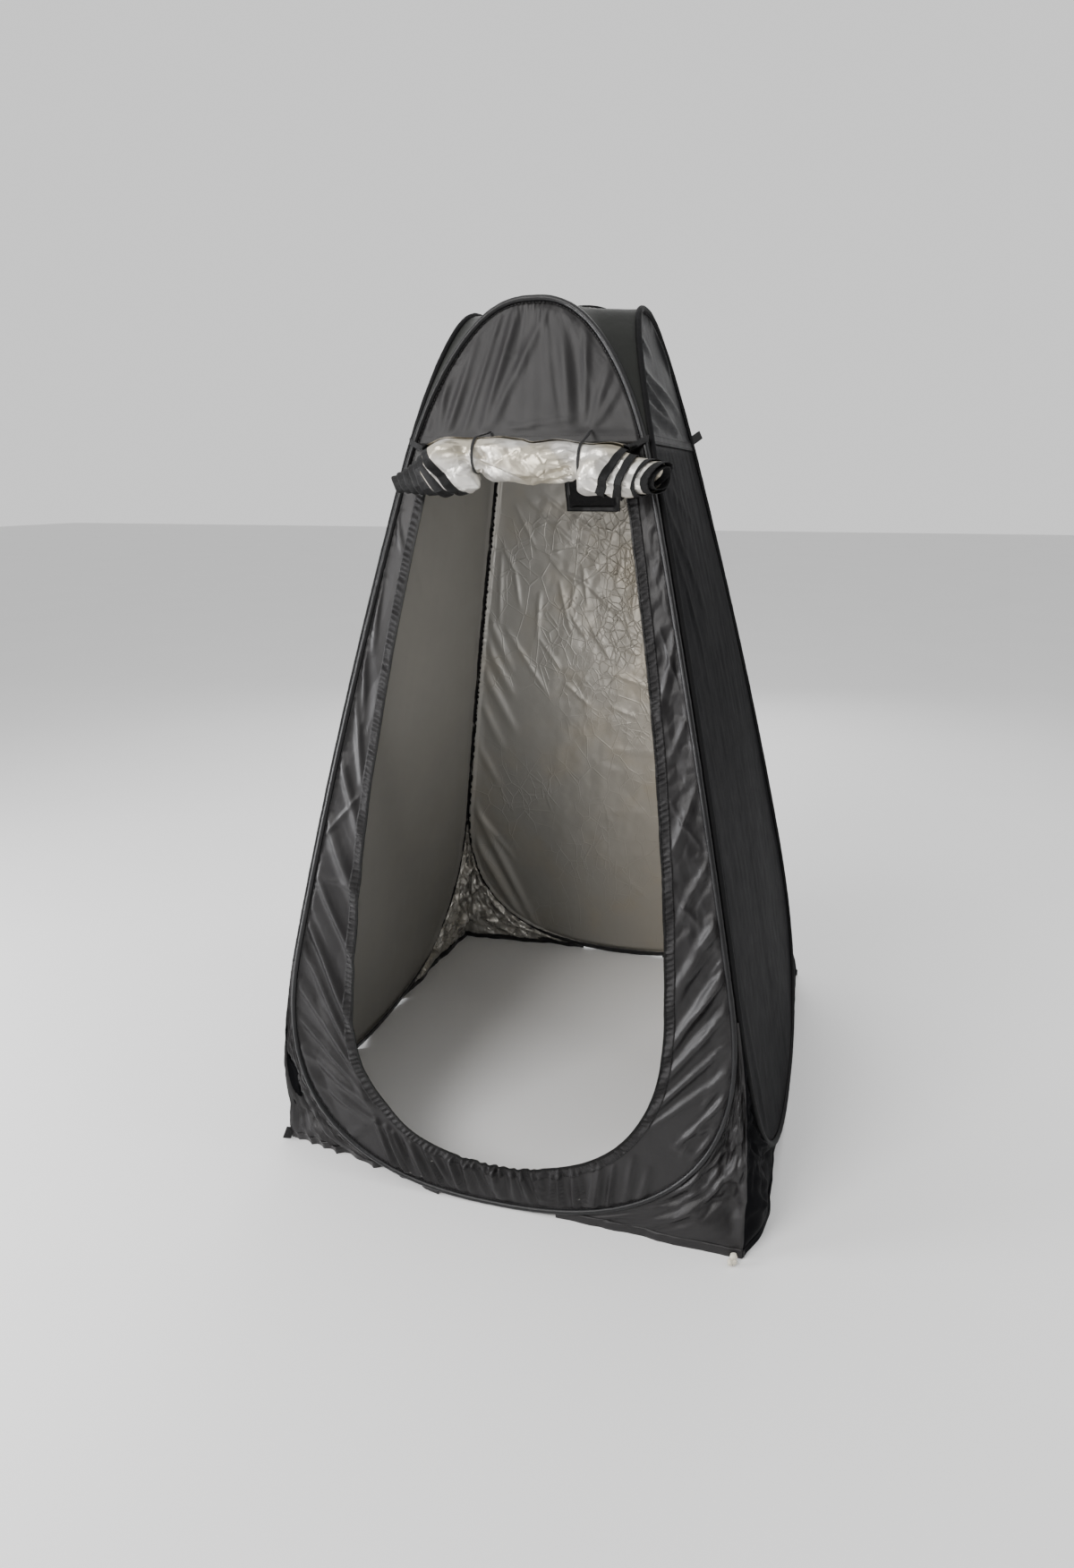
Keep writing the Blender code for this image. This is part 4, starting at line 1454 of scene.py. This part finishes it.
def roll_dents(x, angle, turns):
    """Crumples of the roll's surface, strongest outside and gathered at the ties."""
    around = np.stack([x, -(angle % (2 * np.pi)) * 0.045], axis=1)
    nearest = np.minimum(np.abs(x - TIE_X[0]), np.abs(x - TIE_X[1]))
    gather = np.exp(-((nearest / 0.05) ** 2))
    swing = np.array([noise.noise(Vector((a * 14, b * 9, 5))) for a, b in around])
    dent = 0.011 * facets(around, 0.075, (0.75, 1.1), 0.5, 3)
    dent += 0.0045 * facets(around, 0.034, (0.55, 1.2), -0.6, 5)
    dent += 0.004 * gather * np.sin(angle * 8 + 5 * swing)
    level = (1 - 0.85 * ease(np.sin(angle), 0.4, 0.9)) * ease(1 - np.cos(angle), 0.0, 0.4)
    level *= ease(turns, 7.0, 0.4) * ease(nearest, 0.002, 0.022) * ease(0.3 - x, 0.0, 0.08)
    return dent * level


def roll_shape(u, v):
    """Spiral of the rolled door: u along it, v from the seam above the doorway to its core."""
    neck = v < NECK_ROWS
    wound = np.clip((v - NECK_ROWS) / (1 - NECK_ROWS), 0, 1)
    turns = np.interp(wound, [0, 0.54, 1], [0, 1.3, ROLL_TURNS])
    share = 1 - turns / ROLL_TURNS
    left, right = roll_ends(turns)
    stops = [0, ROLL_TAPE_SHARE, 1 - ROLL_TAPE_SHARE, 1]
    reach = np.interp(u, stops, [0, 0, 1, 1])
    x = left + ROLL_TAPE + (right - left - 2 * ROLL_TAPE) * reach
    x += ROLL_TAPE * np.interp(u, stops, [-1, 0, 0, 1])
    angle = ROLL_START - 2 * np.pi * turns
    radius = ROLL_CORE + (roll_full(x) - ROLL_CORE) * share
    radius = radius + roll_dents(x, angle, turns) * sizes().fold_depth
    y = ROLL_Y + radius * np.cos(angle)
    z = roll_height(x) + radius * np.sin(angle)
    near = np.clip(x, -0.25, 0.22)
    slope = (roll_height(near + 0.01) - roll_height(near - 0.01)) / 0.02
    tilt = END_TILT * ease(x, 0.24, 0.285) * np.cos(angle)
    x = x + radius * (tilt - ROLL_SHEAR * slope * np.sin(angle))
    climb = np.clip(v / NECK_ROWS, 0, 1)
    seam_y = -spread(RING) - 0.003
    y = np.where(neck, seam_y + (y - seam_y) * climb, y)
    z = np.where(neck, SEAM_Z + (z - SEAM_Z) * climb, z)
    return np.stack([x, y, z], axis=1), np.stack([x, turns * 0.25], axis=1)


def rolled_door():
    mesh = grid(ROLL_COLUMNS, ROLL_ROWS, roll_shape)
    band = round(ROLL_COLUMNS * ROLL_TAPE_SHARE)
    for index, face in enumerate(mesh.faces):
        column = index % ROLL_COLUMNS
        face.material_index = int(column < band or column >= ROLL_COLUMNS - band)
    aim_out_of_roll(mesh)
    made = piece("rolled_door_cloth", mesh, [door_lining, black_tape], ["door_roll"])
    made.data.set_sharp_from_angle(angle=math.radians(16))
    thicken(made, ROLL_THICK, inner=0)


def aim_out_of_roll(mesh):
    """Turn the spiral's faces away from its middle line."""
    mesh.normal_update()
    away = 0.0
    for face in mesh.faces:
        centre = face.calc_center_median()
        middle = Vector((centre.x, ROLL_Y, float(roll_height(centre.x))))
        away += face.normal.dot(centre - middle) * face.calc_area()
    if away < 0:
        bmesh.ops.reverse_faces(mesh, faces=mesh.faces)


def tie_line(x):
    """Line of an elastic tie round the roll, as (y, z) points from the hem and back to it."""
    middle = float(roll_height(x))
    radius = float(roll_full(np.array([x]))[0]) + 0.0022
    angles = np.radians(np.linspace(100, 385, 40))
    ring = np.stack([ROLL_Y + radius * np.cos(angles), middle + radius * np.sin(angles)], axis=1)
    hem_y = -spread(TIE_HIGH)
    start = np.array([[hem_y - 0.004, TIE_HIGH], [hem_y - 0.02, TIE_HIGH - 0.004]])
    end = np.array([[-spread(RING) - 0.004, SEAM_Z]])
    return evenly(np.vstack([start, ring, end]), 0.003)


def door_tie(name, x, node):
    line = tie_line(x)

    def place(u, v):
        index = u * (len(line) - 1)
        y, z = (np.interp(index, np.arange(len(line)), column) for column in line.T)
        across = x + (v - 0.5) * TIE_WIDE + 0.004 * np.sin(u * 5)
        return np.stack([across, y, z], axis=1), np.stack([u * 0.3, v * 0.006], axis=1)

    strap(name, node, len(line) - 1, 4, place, TIE_THICK)


def window_sheet(name, node, makers, inset, out, quads, sag, thick):
    """Sheet over the window on the back wall, with soft folds."""
    left, right, low, high = window_box()
    wide, tall = right - left - 2 * inset, high - low - 2 * inset

    def place(u, v):
        s = -(left + inset + wide * u)
        z = low + inset + tall * v
        height = out + sag * facets(np.stack([s, z], axis=1), 0.09, (1, 0.7), 0.8, 2)
        return on_wall("back", s, z, height), np.stack([s, z], axis=1)

    mesh = grid(*quads, place)
    face_out(mesh)
    made = piece(name, mesh, makers, [node])
    thicken(made, thick, inner=len(makers) - 1)


def window():
    window_sheet(
        "window_netting", "window_mesh", [window_net],
        NET_INSET, -0.001, (40, 36), 0.0012, NET_THICK,
    )
    window_sheet(
        "window_outer_flap", "window_flap", [side_painted_shade_cloth, smooth_lining],
        -FLAP_OVERLAP, 0.0045, (60, 56), 0.0016, FLAP_THICK,
    )
    window_tape()


def window_tape():
    """Black tape round the window, sewn to the inside of the back wall."""
    left, right, low, high = window_box()

    def place(u, v):
        s = -(left - WINDOW_TAPE_OUT + (right - left + 2 * WINDOW_TAPE_OUT) * u)
        z = low - WINDOW_TAPE_OUT + (high - low + 2 * WINDOW_TAPE_OUT) * v
        out = side_relief("back", s, z) - 0.0024
        return on_wall("back", s, z, out), np.stack([s, z], axis=1)

    mesh = grid(30, 28, place)
    cut_box(mesh, WINDOW_TAPE_IN)
    face_out(mesh)
    made = piece("window_tape", mesh, [binding], ["window_binding"])
    thicken(made, WINDOW_TAPE_THICK, inner=0)


def pale_floor():
    mesh = bmesh.new()
    bmesh.ops.create_grid(mesh, x_segments=8, y_segments=8, size=30)
    data = bpy.data.meshes.new("floor")
    mesh.to_mesh(data)
    mesh.free()
    data.materials.append(finish(floor_paint))
    floor = bpy.data.objects.new("floor", data)
    bpy.context.scene.collection.objects.link(floor)


def studio():
    """Dim room with a lit backdrop behind the tent."""
    world = bpy.data.worlds.new("studio")
    bpy.context.scene.world = world
    world.use_nodes = True
    tree = world.node_tree
    spots = tree.nodes.new("ShaderNodeTexCoord")
    toward = tree.nodes.new("ShaderNodeVectorMath")
    toward.operation = "DOT_PRODUCT"
    toward.inputs[1].default_value = BACKDROP
    tree.links.new(spots.outputs["Generated"], toward.inputs[0])
    level = tree.nodes.new("ShaderNodeMapRange")
    level.interpolation_type = "SMOOTHSTEP"
    for index, value in enumerate((0.0, 0.25, 0.8, ROOM_LIGHT, BACKDROP_LIGHT)):
        level.inputs[index].default_value = value
    tree.links.new(toward.outputs["Value"], level.inputs[0])
    sky = tree.nodes["Background"]
    sky.inputs["Color"].default_value = (1.0, 1.0, 1.0, 1)
    tree.links.new(level.outputs[0], sky.inputs["Strength"])


def lamp(name, spot, target, size, power, tint):
    """Square lamp at a spot, aimed at a target."""
    light = bpy.data.lights.new(name, "AREA")
    light.shape = "SQUARE"
    light.size = size
    light.energy = power
    light.color = tint
    made = bpy.data.objects.new(name, light)
    made.location = spot
    made.rotation_mode = "QUATERNION"
    made.rotation_quaternion = (Vector(target) - Vector(spot)).to_track_quat("-Z", "Y")
    made.visible_camera = False
    bpy.context.scene.collection.objects.link(made)


def overhead():
    """Soft light from straight above."""
    sun = bpy.data.lights.new("overhead", "SUN")
    sun.energy = OVERHEAD_POWER
    sun.angle = OVERHEAD_ANGLE
    bpy.context.scene.collection.objects.link(bpy.data.objects.new("overhead", sun))


def camera():
    data = bpy.data.cameras.new("photo_view")
    data.sensor_fit = "AUTO"
    data.sensor_width = 36.0
    data.lens = FOCAL_PIXELS / PHOTO_SIZE[1] * data.sensor_width
    data.shift_x = (PHOTO_SIZE[0] / 2 - PRINCIPAL_PIXEL[0]) / PHOTO_SIZE[1]
    data.shift_y = (PRINCIPAL_PIXEL[1] - PHOTO_SIZE[1] / 2) / PHOTO_SIZE[1]
    made = bpy.data.objects.new("photo_view", data)
    made.location = CAMERA_SPOT
    level = math.cos(CAMERA_PITCH)
    ahead = Vector((-math.sin(CAMERA_YAW) * level, math.cos(CAMERA_YAW) * level, -math.sin(CAMERA_PITCH)))
    made.rotation_mode = "QUATERNION"
    made.rotation_quaternion = ahead.to_track_quat("-Z", "Y")
    bpy.context.scene.collection.objects.link(made)
    bpy.context.scene.camera = made


class TentSizes(PropertyGroup):
    """Sizes that a user would change."""

    cloth: FloatProperty(name="Cloth", description="Thickness of the walls", default=0.0009, unit="LENGTH")
    stitch: FloatProperty(name="Stitch", description="Thickness of a stitch", default=0.0008, unit="LENGTH")
    fold_depth: FloatProperty(
        name="Fold depth", description="Share of the folds' full depth", default=1.0, subtype="FACTOR"
    )


class TentColours(PropertyGroup):
    """Colours of the tent's cloth and trim."""

    cloth: FloatVectorProperty(
        name="Outer cloth", description="Charcoal cloth outside",
        default=(0.013, 0.012, 0.0125), subtype="COLOR"
    )
    # Darker than the outer cloth as painted shade on the sides, which are the same fabric.
    side: FloatVectorProperty(
        name="Side cloth", description="Shaded cloth of the sides",
        default=(0.007, 0.007, 0.0085), subtype="COLOR"
    )
    roof: FloatVectorProperty(
        name="Roof", description="Cloth between the arches", default=(0.014, 0.015, 0.013), subtype="COLOR"
    )
    # Darker than the door's silver, the same coating, as painted shade inside the tent.
    lining: FloatVectorProperty(
        name="Lining", description="Silver coating inside", default=(0.285, 0.28, 0.264), subtype="COLOR"
    )
    door: FloatVectorProperty(
        name="Door lining", description="Silver coating of the rolled door", default=(0.72, 0.70, 0.66),
        subtype="COLOR",
    )
    binding: FloatVectorProperty(
        name="Binding", description="Black tape and sleeves", default=(0.006, 0.006, 0.0065), subtype="COLOR"
    )
    cord: FloatVectorProperty(
        name="Cord", description="Cream cord end", default=(0.78, 0.73, 0.60), subtype="COLOR"
    )


class TENT_OT_sleeves(Operator):
    """Sleeves, edging and stitches of the four hoops"""

    bl_idname = "tent.sleeves"
    bl_label = "Hoop sleeves"

    def execute(self, context):
        for face in NORMALS:
            hoop_sleeve(face)
            hoop_edging(face)
            hoop_stitches(face)
        for corner in CORNERS:
            corner_seam(corner)
        return {"FINISHED"}


class TENT_OT_upper_walls(Operator):
    """Cloth of the upper walls, with the seam below them"""

    bl_idname = "tent.upper_walls"
    bl_label = "Upper walls"

    def execute(self, context):
        rows = []
        for face in NORMALS:
            upper_wall(face)
            reach = float(hoop_width(face, RING)) - HOOP_SEAM
            s = np.linspace(-reach, reach, 60)
            for height in RING_SEAMS:
                rows.append((face, np.stack([s, 0 * s + RING + height], axis=1), 0.0016))
        wall_stitches("seam_stitches", rows, 0.006)
        return {"FINISHED"}


class TENT_OT_lower_walls(Operator):
    """Cloth of the left, right and back walls, and of the wall round the doorway"""

    bl_idname = "tent.lower_walls"
    bl_label = "Lower walls"

    def execute(self, context):
        for face in ("left", "right", "back"):
            lower_wall(face)
        front_wall()
        return {"FINISHED"}


class TENT_OT_roof(Operator):
    """Cloth over the top, between the arches"""

    bl_idname = "tent.roof"
    bl_label = "Roof"

    def execute(self, context):
        roof()
        return {"FINISHED"}


class TENT_OT_gussets(Operator):
    """Slack gussets at the ground, with their hems"""

    bl_idname = "tent.gussets"
    bl_label = "Ground gussets"

    def execute(self, context):
        for corner in CORNERS:
            gusset(corner)
            hem(corner)
        return {"FINISHED"}


class TENT_OT_doorway(Operator):
    """Zip tape round the doorway"""

    bl_idname = "tent.doorway"
    bl_label = "Doorway"

    def execute(self, context):
        door_tape()
        return {"FINISHED"}


class TENT_OT_rolled_door(Operator):
    """Rolled door and its elastic ties"""

    bl_idname = "tent.rolled_door"
    bl_label = "Rolled door"

    def execute(self, context):
        rolled_door()
        door_tie("left_elastic_tie", TIE_X[0], "door_tie_left")
        door_tie("right_elastic_tie", TIE_X[1], "door_tie_right")
        return {"FINISHED"}


class TENT_OT_window(Operator):
    """Window net, its tape and the flap outside"""

    bl_idname = "tent.window"
    bl_label = "Window"

    def execute(self, context):
        window()
        return {"FINISHED"}


class TENT_OT_webbing(Operator):
    """Webbing tabs at the corners, and the cream cord end"""

    bl_idname = "tent.webbing"
    bl_label = "Webbing"

    def execute(self, context):
        tab("front_right_peg_loop", "front_right_peg_tab", (0.1, -1.0, 0.0), 0.002)
        tab("back_right_peg_loop", "back_right_peg_tab")
        tab("back_left_peg_loop", "back_left_peg_tab")
        tab("front_left_peg_loop", "front_left_peg_tab", (-0.15, -0.2, -0.5), 0.02)
        tab("back_right_guy_loop", "back_right_guy_tab", (0.6, 0.6, 0.5), 0.022)
        tab("back_left_guy_loop", "back_left_guy_tab")
        folded_loop("front_right_guy_loop", "front_right_guy_tab", 1)
        folded_loop("front_left_guy_loop", "front_left_guy_tab", -1)
        knot()
        return {"FINISHED"}


class TENT_OT_stage(Operator):
    """Floor, studio light and camera"""

    bl_idname = "tent.stage"
    bl_label = "Stage"

    def execute(self, context):
        pale_floor()
        studio()
        for values in LAMPS:
            lamp(*values)
        overhead()
        camera()
        return {"FINISHED"}


STEPS = (
    TENT_OT_stage,
    TENT_OT_sleeves,
    TENT_OT_upper_walls,
    TENT_OT_lower_walls,
    TENT_OT_roof,
    TENT_OT_gussets,
    TENT_OT_doorway,
    TENT_OT_rolled_door,
    TENT_OT_window,
    TENT_OT_webbing,
)


class TENT_PT_panel(Panel):
    """Lists the steps that dress the tent"""

    bl_idname = "TENT_PT_panel"
    bl_label = "Toilet tent"
    bl_space_type = "VIEW_3D"
    bl_region_type = "UI"
    bl_category = "Tent"

    def draw(self, context):
        for step in STEPS:
            self.layout.operator(step.bl_idname)
        for group in (context.scene.tent_sizes, context.scene.tent_colours):
            for name in type(group).__annotations__:
                self.layout.prop(group, name)


CLASSES = (TentSizes, TentColours, *STEPS, TENT_PT_panel)


def register():
    for cls in CLASSES:
        bpy.utils.register_class(cls)
    bpy.types.Scene.tent_sizes = PointerProperty(type=TentSizes)
    bpy.types.Scene.tent_colours = PointerProperty(type=TentColours)


def unregister():
    del bpy.types.Scene.tent_sizes
    del bpy.types.Scene.tent_colours
    for cls in reversed(CLASSES):
        bpy.utils.unregister_class(cls)


def main():
    register()
    for step in STEPS:
        group, name = step.bl_idname.split(".")
        getattr(getattr(bpy.ops, group), name)()


if __name__ == "__main__":
    main()
